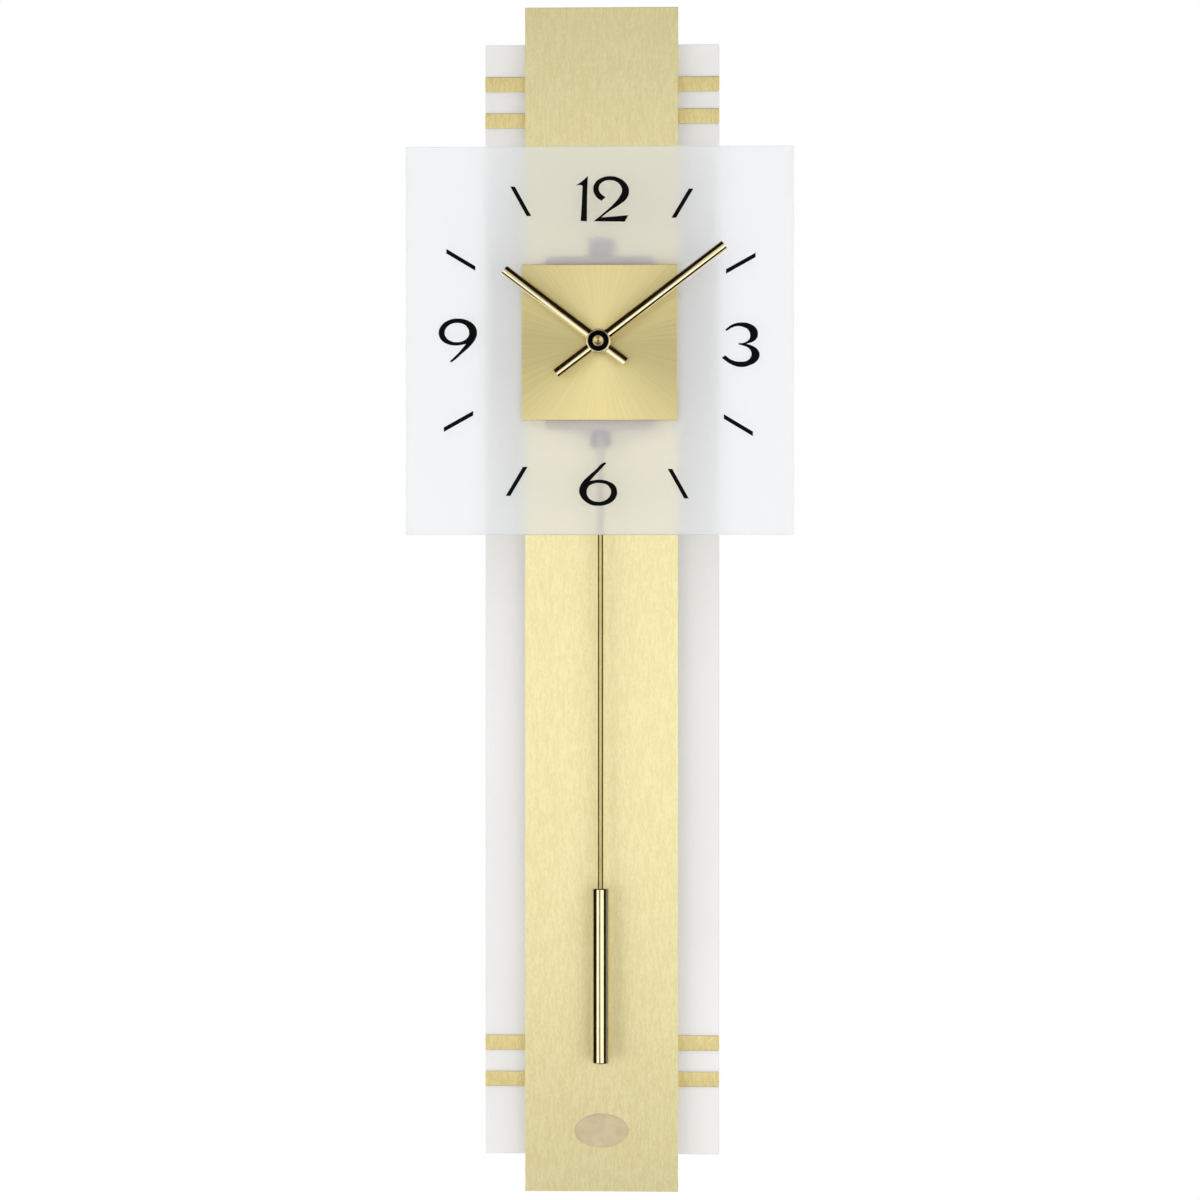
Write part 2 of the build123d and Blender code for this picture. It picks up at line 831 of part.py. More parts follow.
def contact(side):
    """A folded spring strip between one end of the cell and the side wall."""
    wall_x = side * (case_half_width - case_wall)
    cell_x = side * (battery_length + battery_nub_length) / 2
    y_span = around(battery_y, contact_width)
    foot = battery_z - contact_height / 2
    z_span = (foot, foot + contact_height)
    on_wall = block((wall_x, wall_x - side * contact_thick), y_span, z_span)
    on_cell = block((cell_x, cell_x + side * contact_thick), y_span, z_span)
    fold = block((cell_x, wall_x), y_span, (foot, foot + contact_thick))
    return on_wall + on_cell + fold


def circuit_board():
    return block(
        around(board_mid_x, board_width), (train_rear, board_rear), around(board_mid_z, board_height)
    )


board_rear = train_rear + board_thick
board_mid_x = board_width / 2 - train_plate_width / 2 + board_side_gap
board_mid_z = train_top - board_top_gap - board_height / 2


def quartz_crystal():
    spot = Pos(board_mid_x + board_width / 4, board_rear + crystal_radius, board_mid_z)
    return spot * Cylinder(crystal_radius, crystal_length)


def chip_cover():
    return drum(chip_radius, board_rear, board_rear + chip_thick, board_mid_x - board_width / 4, board_mid_z)


def stator():
    """A stamped frame with the rotor's hole at one end and an upright bar for the coil at the other."""
    y_span = (stator_front, stator_rear)
    frame = block((stator_left, stator_right), y_span, (stator_foot, stator_top))
    frame -= block(
        (rotor_block_right, stator_right - stator_bar),
        y_span,
        (stator_foot + stator_bar, stator_top - stator_bar),
    )
    frame -= drum(rotor_magnet_radius + stator_air_gap, stator_front, stator_rear, *rotor_spot)
    for spot in stator_peg_spots:
        frame -= drum(stator_peg_radius + seat_gap, stator_front, stator_rear, *spot)
    return frame


def stepper_coil():
    """The winding around the stator's upright bar."""
    z_span = (
        stator_foot + stator_bar + winding_end_gap,
        stator_top - stator_bar - winding_end_gap,
    )
    x_mid = stator_right - stator_bar / 2
    y_mid = (stator_front + stator_rear) / 2
    bore_x = stator_bar + 2 * winding_gap
    bore_y = stator_thick + 2 * winding_gap
    winding = block(
        around(x_mid, bore_x + 2 * winding_thick), around(y_mid, bore_y + 2 * winding_thick), z_span
    )
    return winding - block(around(x_mid, bore_x), around(y_mid, bore_y), z_span)


# Pendulum

fork_top = case_foot - fork_start
fork_foot = fork_top - fork_height
slot_half = rod_radius + rod_gap
rod_top = fork_top - fork_roof - rod_gap
rod_pin_z = rod_top - rod_pin_drop
bob_top = dial_z - bob_drop


def pivot_pin():
    reach = pivot_pin_seat - end_play
    return drum(pivot_pin_radius, lever_rear + reach, lever_front - reach, 0, pivot_z)


def pendulum_lever():
    """The swinging arm, from the eye on its pin down to the fork that holds the rod."""
    y_span = around(pendulum_y, lever_thick)
    lever = block(around(0, lever_arm_width), y_span, (fork_top, pivot_z))
    lever += drum(lever_eye_radius, lever_rear - end_play, lever_front + end_play, 0, pivot_z)
    lever += drum(magnet_radius + magnet_wall, y_span[0], y_span[1], 0, magnet_z)
    lever += block(around(0, fork_width), around(pendulum_y, fork_depth), (fork_foot, fork_top))
    lever -= drum(pivot_pin_radius + running_gap, lever_rear, lever_front, 0, pivot_z)
    lever -= drum(magnet_radius + seat_gap, y_span[1], y_span[1] - magnet_thick, 0, magnet_z)
    lever -= block(
        (-slot_half, slot_half), around(pendulum_y, fork_depth), (fork_foot, fork_top - fork_roof)
    )
    pin_hole = Pos(0, pendulum_y, rod_pin_z) * Rot(0, 90, 0)
    return lever - pin_hole * Cylinder(rod_pin_radius + seat_gap, fork_width)


def pendulum_magnet():
    rear = pendulum_y + lever_thick / 2
    return drum(magnet_radius, rear, rear - magnet_thick, 0, magnet_z)


def drive_coil():
    coil = drum(drive_coil_radius, drive_coil_rear, drive_coil_front, 0, magnet_z)
    return coil - drum(drive_coil_bore, drive_coil_rear, drive_coil_front, 0, magnet_z)


def rod_pin():
    return Pos(0, pendulum_y, rod_pin_z) * Rot(0, 90, 0) * Cylinder(rod_pin_radius, fork_width)


def pendulum_rod():
    foot = bob_top - rod_in_bob
    rod = Pos(0, pendulum_y, (rod_top + foot) / 2) * Cylinder(rod_radius, rod_top - foot)
    hole = Pos(0, pendulum_y, rod_pin_z) * Rot(0, 90, 0)
    return rod - hole * Cylinder(rod_pin_radius + seat_gap, 2 * rod_radius)


def pendulum_bob():
    bob = Pos(0, pendulum_y, bob_top - bob_length / 2) * Cylinder(bob_radius, bob_length)
    bob = chamfer(bob.edges().filter_by(GeomType.CIRCLE), bob_chamfer)
    socket_depth = rod_in_bob + end_play
    socket = Pos(0, pendulum_y, bob_top - socket_depth / 2)
    return bob - socket * Cylinder(rod_radius + seat_gap, socket_depth)


nodes = {
    "back_panel": back_panel(),
    "hanger_plate": hanger_plate(),
    "hanger_screws": hanger_screws(),
    "wall_bumpers": wall_bumpers(),
    "core_board": core_board(),
    "panel_screws": panel_screws(),
    "front_panel": front_panel(),
    **accent_strips(),
    "oval_badge": oval_badge(),
    "dial_washer": dial_washer(),
    "dial_glass": dial_glass(),
    "centre_plate": centre_plate(),
    "fixing_washer": fixing_washer(),
    "fixing_nut": fixing_nut(),
    "movement_case": movement_case(),
    "movement_cover": movement_cover(),
    "movement_screws": movement_screws(),
    "case_screws": case_screws(),
    "train_plate": train_plate(),
    "train_screws": train_screws(),
    "battery": battery(),
    "positive_contact": contact(1),
    "negative_contact": contact(-1),
    "circuit_board": circuit_board(),
    "quartz_crystal": quartz_crystal(),
    "chip_cover": chip_cover(),
    "stator": stator(),
    "stepper_coil": stepper_coil(),
    "rotor": rotor(),
    "intermediate_wheel": intermediate_wheel(),
    "second_wheel": second_wheel(),
    "third_wheel": third_wheel(),
    "centre_wheel": centre_wheel(),
    "centre_arbor": centre_arbor(),
    "minute_wheel": minute_wheel(),
    "setting_knob": setting_knob(),
    "hour_wheel": hour_wheel(),
    "hour_hand": hour_hand(),
    "minute_hand": minute_hand(),
    "hand_cap": hand_cap(),
    "pivot_pin": pivot_pin(),
    "pendulum_lever": pendulum_lever(),
    "pendulum_magnet": pendulum_magnet(),
    "drive_coil": drive_coil(),
    "rod_pin": rod_pin(),
    "pendulum_rod": pendulum_rod(),
    "pendulum_bob": pendulum_bob(),
}

os.makedirs("parts", exist_ok=True)
for name, shape in nodes.items():
    export_step(shape, f"parts/{name}.step")
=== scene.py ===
import math

import bmesh
import bpy
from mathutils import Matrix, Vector


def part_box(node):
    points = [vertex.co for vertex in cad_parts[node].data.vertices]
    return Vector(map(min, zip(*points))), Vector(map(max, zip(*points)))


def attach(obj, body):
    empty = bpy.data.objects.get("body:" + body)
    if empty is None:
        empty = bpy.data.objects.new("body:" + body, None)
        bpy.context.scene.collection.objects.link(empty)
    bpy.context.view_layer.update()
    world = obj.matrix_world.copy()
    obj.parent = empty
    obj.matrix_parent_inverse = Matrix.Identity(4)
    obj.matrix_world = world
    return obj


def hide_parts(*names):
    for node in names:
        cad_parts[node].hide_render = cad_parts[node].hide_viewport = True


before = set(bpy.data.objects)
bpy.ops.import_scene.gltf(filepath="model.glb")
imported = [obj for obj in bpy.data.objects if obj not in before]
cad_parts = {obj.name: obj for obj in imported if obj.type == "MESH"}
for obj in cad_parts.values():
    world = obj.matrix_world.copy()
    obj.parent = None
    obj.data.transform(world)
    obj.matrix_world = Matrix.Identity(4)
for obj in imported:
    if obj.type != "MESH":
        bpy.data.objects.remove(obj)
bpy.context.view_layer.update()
scene = bpy.context.scene
scene.view_settings.view_transform = "Standard"


# Back panel: a board of MDF with eased edges, sprayed all over with white satin lacquer.
# A router opens the window behind the movement, the seat of the keyhole plate and the screw sinks.
mm = 0.001
panel_edge = 0.9 * mm
window_low = Vector((-27 * mm, 0, -140 * mm))
window_high = Vector((27 * mm, 0, -84 * mm))
keyhole_seat_gap = 0.2 * mm
hook_pocket_low = Vector((-8 * mm, -8 * mm, -8 * mm))
hook_pocket_high = Vector((8 * mm, 0, 16 * mm))
panel_screw_spots = [(x * mm, z * mm) for x in (-25, 25) for z in (-45, -275, -505)]
panel_sink_radius = 4.2 * mm
panel_sink_depth = 3.0 * mm
merge_gap = 0.001 * mm


def settle(name):
    """Names the piece that was just added and puts its place into its mesh."""
    piece = bpy.context.object
    piece.name = name
    bpy.ops.object.transform_apply(location=True, rotation=True, scale=True)
    return piece


def add_block(name, low, high):
    """A cube added between two corners."""
    low = Vector(low)
    high = Vector(high)
    bpy.ops.mesh.primitive_cube_add(size=1, location=(low + high) / 2, scale=high - low)
    return settle(name)


def add_drum(name, radius, start, end, sides=48):
    """A cylinder added between the middles of its two ends."""
    start = Vector(start)
    end = Vector(end)
    bpy.ops.mesh.primitive_cylinder_add(
        vertices=sides,
        radius=radius,
        depth=(end - start).length,
        location=(start + end) / 2,
        rotation=(end - start).to_track_quat("Z", "Y").to_euler(),
    )
    return settle(name)


def take_up(piece):
    """Selects one piece alone and makes it the active one."""
    bpy.ops.object.select_all(action="DESELECT")
    piece.select_set(True)
    bpy.context.view_layer.objects.active = piece


def apply_modifier(piece, modifier):
    take_up(piece)
    bpy.ops.object.modifier_apply(modifier=modifier.name)


def round_edges(piece, width, segments=3, sharpest=40):
    """Eases every edge that is sharper than an angle with a bevel."""
    bevel = piece.modifiers.new("eased_edges", "BEVEL")
    bevel.width = width
    bevel.segments = segments
    bevel.limit_method = "ANGLE"
    bevel.angle_limit = math.radians(sharpest)
    apply_modifier(piece, bevel)


def start_edit():
    """Opens the active piece for editing, all of it selected."""
    bpy.ops.object.mode_set(mode="EDIT")
    bpy.ops.mesh.select_all(action="SELECT")


def combine(piece, tool, operation):
    """Cuts a tool out of a piece, or welds it on, takes the tool away and closes the seams."""
    boolean = piece.modifiers.new("combined", "BOOLEAN")
    boolean.operation = operation
    boolean.object = tool
    boolean.solver = "EXACT"
    apply_modifier(piece, boolean)
    bpy.data.objects.remove(tool)
    start_edit()
    bpy.ops.mesh.remove_doubles(threshold=merge_gap)
    bpy.ops.object.mode_set(mode="OBJECT")


def carve(piece, tool):
    combine(piece, tool, "DIFFERENCE")


def weld(piece, tool):
    combine(piece, tool, "UNION")


def smooth(piece, angle=35):
    """Smooth curves, crisp corners, and flats that stay flat."""
    take_up(piece)
    bpy.ops.object.shade_smooth_by_angle(angle=math.radians(angle))
    flats = piece.modifiers.new("flat_faces", "WEIGHTED_NORMAL")
    flats.keep_sharp = True
    apply_modifier(piece, flats)


def add_node(tree, kind, values=None, **settings):
    """A shader node with plain values on its sockets."""
    node = tree.nodes.new("ShaderNode" + kind)
    for setting, value in settings.items():
        setattr(node, setting, value)
    for socket, value in (values or {}).items():
        node.inputs[socket].default_value = value
    return node


def new_group(name, inputs, outputs):
    """An empty shader group with named sockets, and its two end nodes."""
    group = bpy.data.node_groups.new(name, "ShaderNodeTree")
    for label, kind in inputs:
        group.interface.new_socket(name=label, in_out="INPUT", socket_type="NodeSocket" + kind)
    for label, kind in outputs:
        group.interface.new_socket(name=label, in_out="OUTPUT", socket_type="NodeSocket" + kind)
    return group, group.nodes.new("NodeGroupInput"), group.nodes.new("NodeGroupOutput")


finish_sockets = [("Color", "Color"), ("Roughness", "Float"), ("Height", "Float")]
speck_share = 0.35
cloud_finish, entry, leave = new_group(
    "cloud_finish",
    [
        ("Place", "Vector"),
        ("Cloud Scale", "Float"),
        ("Speck Scale", "Float"),
        ("Dark", "Color"),
        ("Light", "Color"),
        ("Smooth", "Float"),
        ("Rough", "Float"),
    ],
    finish_sockets,
)
clouds = add_node(cloud_finish, "TexNoise", {"Detail": 4.0})
specks = add_node(cloud_finish, "TexNoise", {"Detail": 2.0})
both = add_node(cloud_finish, "Math", {1: speck_share}, operation="MULTIPLY_ADD")
link = cloud_finish.links.new
link(entry.outputs["Place"], clouds.inputs["Vector"])
link(entry.outputs["Place"], specks.inputs["Vector"])
link(entry.outputs["Cloud Scale"], clouds.inputs["Scale"])
link(entry.outputs["Speck Scale"], specks.inputs["Scale"])
link(specks.outputs[0], both.inputs[0])
link(clouds.outputs[0], both.inputs[2])


def close_finish(group, entry, leave, tone_source, tone_range, gloss_source, gloss_range, height):
    """Leads patterns to the colour, the gloss and the height that a finish gives out."""
    tone = add_node(group, "MapRange", {"From Min": tone_range[0], "From Max": tone_range[1]})
    colour = add_node(group, "Mix", data_type="RGBA")
    gloss = add_node(group, "MapRange", {"From Min": gloss_range[0], "From Max": gloss_range[1]})
    link = group.links.new
    link(tone_source, tone.inputs["Value"])
    link(tone.outputs[0], colour.inputs[0])
    link(entry.outputs["Dark"], colour.inputs[6])
    link(entry.outputs["Light"], colour.inputs[7])
    link(gloss_source, gloss.inputs["Value"])
    link(entry.outputs["Smooth"], gloss.inputs["To Min"])
    link(entry.outputs["Rough"], gloss.inputs["To Max"])
    link(colour.outputs[2], leave.inputs["Color"])
    link(gloss.outputs[0], leave.inputs["Roughness"])
    link(height, leave.inputs["Height"])


close_finish(
    cloud_finish,
    entry,
    leave,
    tone_source=both.outputs[0],
    tone_range=(0.46, 0.88),
    gloss_source=clouds.outputs[0],
    gloss_range=(0.32, 0.68),
    height=specks.outputs[0],
)


def start_material(name, group, values, shader_values):
    """A material whose colour, gloss and relief come from one finish group."""
    material = bpy.data.materials.new(name)
    material.use_nodes = True
    tree = material.node_tree
    shader = tree.nodes["Principled BSDF"]
    for socket, value in shader_values.items():
        shader.inputs[socket].default_value = value
    finish = tree.nodes.new("ShaderNodeGroup")
    finish.node_tree = group
    for socket, value in values.items():
        finish.inputs[socket].default_value = value
    tree.links.new(finish.outputs["Color"], shader.inputs["Base Color"])
    tree.links.new(finish.outputs["Roughness"], shader.inputs["Roughness"])
    return material, tree, shader, finish


def add_relief(tree, shader, height, strength, depth):
    """Turns a height into fine relief on the surface."""
    bump = add_node(tree, "Bump", {"Strength": strength, "Distance": depth})
    tree.links.new(height, bump.inputs["Height"])
    tree.links.new(bump.outputs["Normal"], shader.inputs["Normal"])


def tone_values(dark, light, gloss_range):
    """The sockets that every finish group has: two tones and two roughnesses."""
    return {
        "Dark": (*dark, 1),
        "Light": (*light, 1),
        "Smooth": gloss_range[0],
        "Rough": gloss_range[1],
    }


def cloud_material(name, dark, light, gloss_range, scales, relief, shader_values):
    """An even finish with soft clouds and fine specks."""
    values = tone_values(dark, light, gloss_range)
    values["Cloud Scale"], values["Speck Scale"] = scales
    material, tree, shader, finish = start_material(name, cloud_finish, values, shader_values)
    place = add_node(tree, "TexCoord")
    tree.links.new(place.outputs["Object"], finish.inputs["Place"])
    add_relief(tree, shader, finish.outputs["Height"], *relief)
    return material


def fit(piece, body, slot, material, *nodes):
    """Gives a finished piece its material and its body, and hides the solids it stands for; the
    slot is not used.
    """
    piece.data.materials.clear()
    piece.data.materials.append(material)
    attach(piece, body)
    if nodes:
        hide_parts(*nodes)


def open_window(board, low, high):
    """Cuts the window behind the movement right through a board."""
    near = (window_low.x, low.y - mm, window_low.z)
    far = (window_high.x, high.y + mm, window_high.z)
    carve(board, add_block("window_cut", near, far))


white_lacquer = cloud_material(
    "white_lacquer",
    dark=(0.835, 0.828, 0.815),
    light=(0.885, 0.88, 0.868),
    gloss_range=(0.30, 0.42),
    scales=(9.0, 900.0),
    relief=(0.12, 0.03 * mm),
    shader_values={"Coat Weight": 0.25, "Coat Roughness": 0.12, "IOR": 1.5},
)
low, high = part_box("back_panel")
lacquered_board = add_block("lacquered_board", low, high)
round_edges(lacquered_board, panel_edge)
open_window(lacquered_board, low, high)
plate_low, plate_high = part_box("hanger_plate")
seat_gap = Vector((keyhole_seat_gap, 0, keyhole_seat_gap))
seat_open = Vector((0, mm, 0))
seat_low = plate_low - seat_gap
seat_high = plate_high + seat_gap + seat_open
carve(lacquered_board, add_block("seat_cut", seat_low, seat_high))
carve(lacquered_board, add_block("pocket_cut", hook_pocket_low, hook_pocket_high))
for x, z in panel_screw_spots:
    sink_start = (x, -panel_sink_depth, z)
    carve(lacquered_board, add_drum("sink_cut", panel_sink_radius, sink_start, (x, mm, z)))
smooth(lacquered_board)
fit(lacquered_board, "clock_case", "white_lacquer", white_lacquer, "back_panel")


# Keyhole plate: stamped steel, zinc plated, let in flush at the top of the rear face.
# Its round hole drops over the wall screw's head and the slot above takes the shank.
keyhole_radius = 5.0 * mm
slot_half_width = 2.5 * mm
slot_rise = 9.0 * mm
plate_edge = 0.3 * mm
zinc_steel = cloud_material(
    "zinc_steel",
    dark=(0.50, 0.51, 0.52),
    light=(0.66, 0.67, 0.68),
    gloss_range=(0.28, 0.45),
    scales=(60.0, 1500.0),
    relief=(0.1, 0.02 * mm),
    shader_values={"Metallic": 1.0},
)
keyhole_plate = add_block("keyhole_plate", plate_low, plate_high)
round_edges(keyhole_plate, plate_edge, 2)
front = plate_low.y - mm
rear = plate_high.y + mm
carve(keyhole_plate, add_drum("hole_cut", keyhole_radius, (0, front, 0), (0, rear, 0), 64))
slot_low = (-slot_half_width, front, 0)
slot_high = (slot_half_width, rear, slot_rise)
carve(keyhole_plate, add_block("slot_cut", slot_low, slot_high))
end_front = (0, front, slot_rise)
end_rear = (0, rear, slot_rise)
carve(keyhole_plate, add_drum("end_cut", slot_half_width, end_front, end_rear))
smooth(keyhole_plate)
fit(keyhole_plate, "clock_case", "zinc_steel", zinc_steel, "hanger_plate")


# Screws: zinc-plated wood screws with a low round head and a cross recess.
# Two hold the keyhole plate, six pull the panel against the core board, three hold the movement.
recess_width = 0.9 * mm
recess_reach_share = 0.6
recess_floor_share = 0.3


def pull_out(step):
    """Draws the selected faces out by a step, with new walls behind them."""
    bpy.ops.mesh.extrude_region_move(TRANSFORM_OT_translate={"value": step})


def end_edit():
    """Turns every face of the edited piece outwards and closes it again."""
    bpy.ops.mesh.select_all(action="SELECT")
    bpy.ops.mesh.normals_make_consistent(inside=False)
    bpy.ops.object.mode_set(mode="OBJECT")


def turn_up(name, spot, way, profile, sides=64):
    """A turned shape: a disc pulled along its axis in steps of (distance, radius)."""
    spot = Vector(spot)
    way = Vector(way)
    distance, radius = profile[0]
    bpy.ops.mesh.primitive_circle_add(
        vertices=sides,
        radius=radius,
        fill_type="NGON",
        location=spot + way * distance,
        rotation=way.to_track_quat("Z", "Y").to_euler(),
    )
    turned = settle(name)
    start_edit()
    for next_distance, next_radius in profile[1:]:
        pull_out(way * (next_distance - distance))
        share = next_radius / radius
        middle = spot + way * next_distance
        bpy.ops.transform.resize(value=(share, share, share), center_override=middle)
        distance, radius = next_distance, next_radius
    bpy.ops.mesh.select_all(action="SELECT")
    bpy.ops.mesh.remove_doubles(threshold=merge_gap)
    end_edit()
    return turned


def copy_to(piece, name, step):
    """A copy with a mesh of its own, moved by a step."""
    take_up(piece)
    bpy.ops.object.duplicate()
    bpy.ops.transform.translate(value=step)
    return settle(name)


def set_screws(node, name, way, seat, sizes, spots):
    """Models one screw at its first place and copies it to the others.

    The sizes are the shank's radius and length, and the head's radius and height.
    """
    shank, length, head, rise = sizes
    profile = [
        (-length, 0.1 * shank),
        (-0.85 * length, shank),
        (0, shank),
        (0, head),
        (0.45 * rise, head),
        (0.75 * rise, 0.9 * head),
        (0.93 * rise, 0.72 * head),
        (rise, 0.45 * head),
    ]
    x, z = spots[0]
    first = turn_up(name + "_1", (x, seat, z), way, profile, 32)
    near, far = sorted((seat + way[1] * (rise + mm), seat + way[1] * recess_floor_share * rise))
    half = recess_width / 2
    reach = recess_reach_share * head
    for wide, tall in ((reach, half), (half, reach)):
        carve(first, add_block("recess_cut", (x - wide, near, z - tall), (x + wide, far, z + tall)))
    smooth(first)
    screws = [first]
    for count, (next_x, next_z) in enumerate(spots[1:], start=2):
        screws.append(copy_to(first, f"{name}_{count}", (next_x - x, 0, next_z - z)))
    for screw in screws:
        fit(screw, "clock_case", "zinc_steel", zinc_steel, node)


to_rear = (0, 1, 0)
to_front = (0, -1, 0)
set_screws(
    "hanger_screws",
    "hanger_screw",
    way=to_rear,
    seat=0,
    sizes=(1.5 * mm, 11 * mm, 3.0 * mm, 1.2 * mm),
    spots=[(-15 * mm, 4 * mm), (15 * mm, 4 * mm)],
)
set_screws(
    "panel_screws",
    "panel_screw",
    way=to_rear,
    seat=-panel_sink_depth,
    sizes=(2.0 * mm, 14 * mm, 4.0 * mm, 2.2 * mm),
    spots=panel_screw_spots,
)
set_screws(
    "movement_screws",
    "movement_screw",
    way=to_front,
    seat=-23.5 * mm,
    sizes=(1.5 * mm, 9 * mm, 3.0 * mm, 1.8 * mm),
    spots=[(0, -73.5 * mm), (-36 * mm, -159 * mm), (36 * mm, -159 * mm)],
)


# Wall pads: four thick discs of grey felt with soft rims, stuck in the corners of the rear face.
# They keep the panel off the wall and level with the keyhole plate.
pad_radius = 6.0 * mm
pad_thick = 2.0 * mm
grey_felt = cloud_material(
    "grey_felt",
    dark=(0.10, 0.10, 0.10),
    light=(0.19, 0.19, 0.185),
    gloss_range=(0.9, 1.0),
    scales=(400.0, 2500.0),
    relief=(0.8, 0.2 * mm),
    shader_values={},
)
low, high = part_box("wall_bumpers")
first_spot = Vector((low.x + pad_radius, 0, low.z + pad_radius))
pad_profile = [
    (0, pad_radius),
    (0.5 * pad_thick, pad_radius),
    (0.75 * pad_thick, 0.96 * pad_radius),
    (0.92 * pad_thick, 0.86 * pad_radius),
    (pad_thick, 0.7 * pad_radius),
]
first_pad = turn_up("wall_pad_1", first_spot, to_rear, pad_profile)
smooth(first_pad)
across = high.x - low.x - 2 * pad_radius
up = high.z - low.z - 2 * pad_radius
pads = [first_pad]
for count, step in enumerate([(across, 0, 0), (0, 0, up), (across, 0, up)], start=2):
    pads.append(copy_to(first_pad, f"wall_pad_{count}", step))
for pad in pads:
    fit(pad, "clock_case", "grey_felt", grey_felt, "wall_bumpers")


# Core board: a narrower MDF board between panel and sheet, painted white, hidden from the front.
# The solid keeps its shape and takes the lacquer.
def dress(material, *names):
    """Puts a material on solids that stay as they are."""
    for name in names:
        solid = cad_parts[name]
        if not solid.material_slots:
            solid.data.materials.append(material)
        for slot in solid.material_slots:
            slot.material = material


dress(white_lacquer, "core_board")


# Front sheet: aluminium anodised in a pale brass tone, brushed lengthwise, glued to the core board.
# Its cut edges are lightly broken, and the window behind the movement matches the boards.
sheet_edge = 0.25 * mm
streak_stretch = 0.31
hair_share = 1.6
brush_relief = (0.08, 0.02 * mm)
brush_finish, entry, leave = new_group(
    "brush_finish",
    [
        ("Place", "Vector"),
        ("Dark", "Color"),
        ("Light", "Color"),
        ("Smooth", "Float"),
        ("Rough", "Float"),
    ],
    finish_sockets,
)
hairs = add_node(brush_finish, "TexNoise", {"Scale": 1.0, "Detail": 3.0, "Roughness": 0.6})
streak_place = add_node(brush_finish, "VectorMath", {3: streak_stretch}, operation="SCALE")
streaks = add_node(brush_finish, "TexNoise", {"Scale": 1.0, "Detail": 2.0})
both = add_node(brush_finish, "Math", {1: hair_share}, operation="MULTIPLY_ADD")
link = brush_finish.links.new
link(entry.outputs["Place"], hairs.inputs["Vector"])
link(entry.outputs["Place"], streak_place.inputs[0])
link(streak_place.outputs[0], streaks.inputs["Vector"])
link(hairs.outputs[0], both.inputs[0])
link(streaks.outputs[0], both.inputs[2])
close_finish(
    brush_finish,
    entry,
    leave,
    tone_source=both.outputs[0],
    tone_range=(1.12, 1.48),
    gloss_source=hairs.outputs[0],
    gloss_range=(0.3, 0.7),
    height=hairs.outputs[0],
)


def brushed_material(name, dark, light, gloss_range, hair_scale, pull):
    """Metal brushed upright: stretched hairlines, and highlights pulled out across them."""
    values = tone_values(dark, light, gloss_range)
    shader_values = {"Metallic": 1.0, "Anisotropic": pull}
    material, tree, shader, finish = start_material(name, brush_finish, values, shader_values)
    place = add_node(tree, "TexCoord")
    stretch = add_node(tree, "Mapping", {"Scale": hair_scale})
    lie = add_node(tree, "Tangent", direction_type="RADIAL", axis="Z")
    tree.links.new(place.outputs["Object"], stretch.inputs["Vector"])
    tree.links.new(stretch.outputs[0], finish.inputs["Place"])
    tree.links.new(lie.outputs[0], shader.inputs["Tangent"])
    add_relief(tree, shader, finish.outputs["Height"], *brush_relief)
    return material


brushed_brass_tone = brushed_material(
    "brushed_brass_tone",
    dark=(0.925, 0.82, 0.43),
    light=(1.0, 0.92, 0.525),
    gloss_range=(0.36, 0.44),
    hair_scale=(2400.0, 2400.0, 420.0),
    pull=0.6,
)
low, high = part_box("front_panel")
tall_sheet = add_block("tall_sheet", low, high)
round_edges(tall_sheet, sheet_edge, 2)
open_window(tall_sheet, low, high)
smooth(tall_sheet)
fit(tall_sheet, "clock_case", "brushed_brass_tone", brushed_brass_tone, "front_panel")


# Accent strips: short flat bars of the same metal in a deeper tone, cut across the brushing.
# They lie in pairs on the panel, left and right of the sheet, glued flat.
strip_edge = 0.3 * mm
bright_brass_tone = brushed_material(
    "bright_brass_tone",
    dark=(0.9, 0.745, 0.335),
    light=(1.0, 0.855, 0.405),
    gloss_range=(0.34, 0.44),
    hair_scale=(2200.0, 2200.0, 420.0),
    pull=0.5,
)
strip_nodes = [
    f"strip_{level}_{side}_{place}"
    for level in ("upper", "lower")
    for side in ("left", "right")
    for place in ("top", "base")
]
first_low, first_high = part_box(strip_nodes[0])
first_bar = add_block(strip_nodes[0] + "_bar", first_low, first_high)
round_edges(first_bar, strip_edge, 2)
smooth(first_bar)
bars = [first_bar]
for node in strip_nodes[1:]:
    bars.append(copy_to(first_bar, node + "_bar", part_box(node)[0] - first_low))
for bar, node in zip(bars, strip_nodes):
    fit(bar, "clock_case", "brushed_brass_tone", bright_brass_tone, node)


# Oval plaque: a thin plate of satin nickel-brass stuck near the foot of the sheet.
# A fine line is engraved inside its rim, and its face is plain.
plaque_rim = 0.3 * mm
plaque_line = 0.45 * mm
plaque_line_depth = 0.3 * mm
satin_plaque = cloud_material(
    "satin_plaque",
    dark=(0.88, 0.765, 0.485),
    light=(0.97, 0.845, 0.545),
    gloss_range=(0.38, 0.5),
    scales=(250.0, 4000.0),
    relief=(0.1, 0.02 * mm),
    shader_values={"Metallic": 1.0},
)
low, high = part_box("oval_badge")
plaque_middle = (low + high) / 2
bpy.ops.mesh.primitive_circle_add(
    vertices=128,
    radius=(high.x - low.x) / 2,
    fill_type="NGON",
    location=(plaque_middle.x, high.y, plaque_middle.z),
    rotation=(math.pi / 2, 0, 0),
)
oval_plaque = settle("oval_plaque")
start_edit()
oval_share = (high.z - low.z) / (high.x - low.x)
bpy.ops.transform.resize(value=(1, 1, oval_share), center_override=plaque_middle)
pull_out((0, low.y - high.y, 0))
bpy.ops.mesh.inset(thickness=plaque_rim)
pull_out((0, plaque_line_depth, 0))
bpy.ops.mesh.inset(thickness=plaque_line)
pull_out((0, -plaque_line_depth, 0))
end_edit()
smooth(oval_plaque)
fit(oval_plaque, "clock_case", "brushed_brass_tone", satin_plaque, "oval_badge")
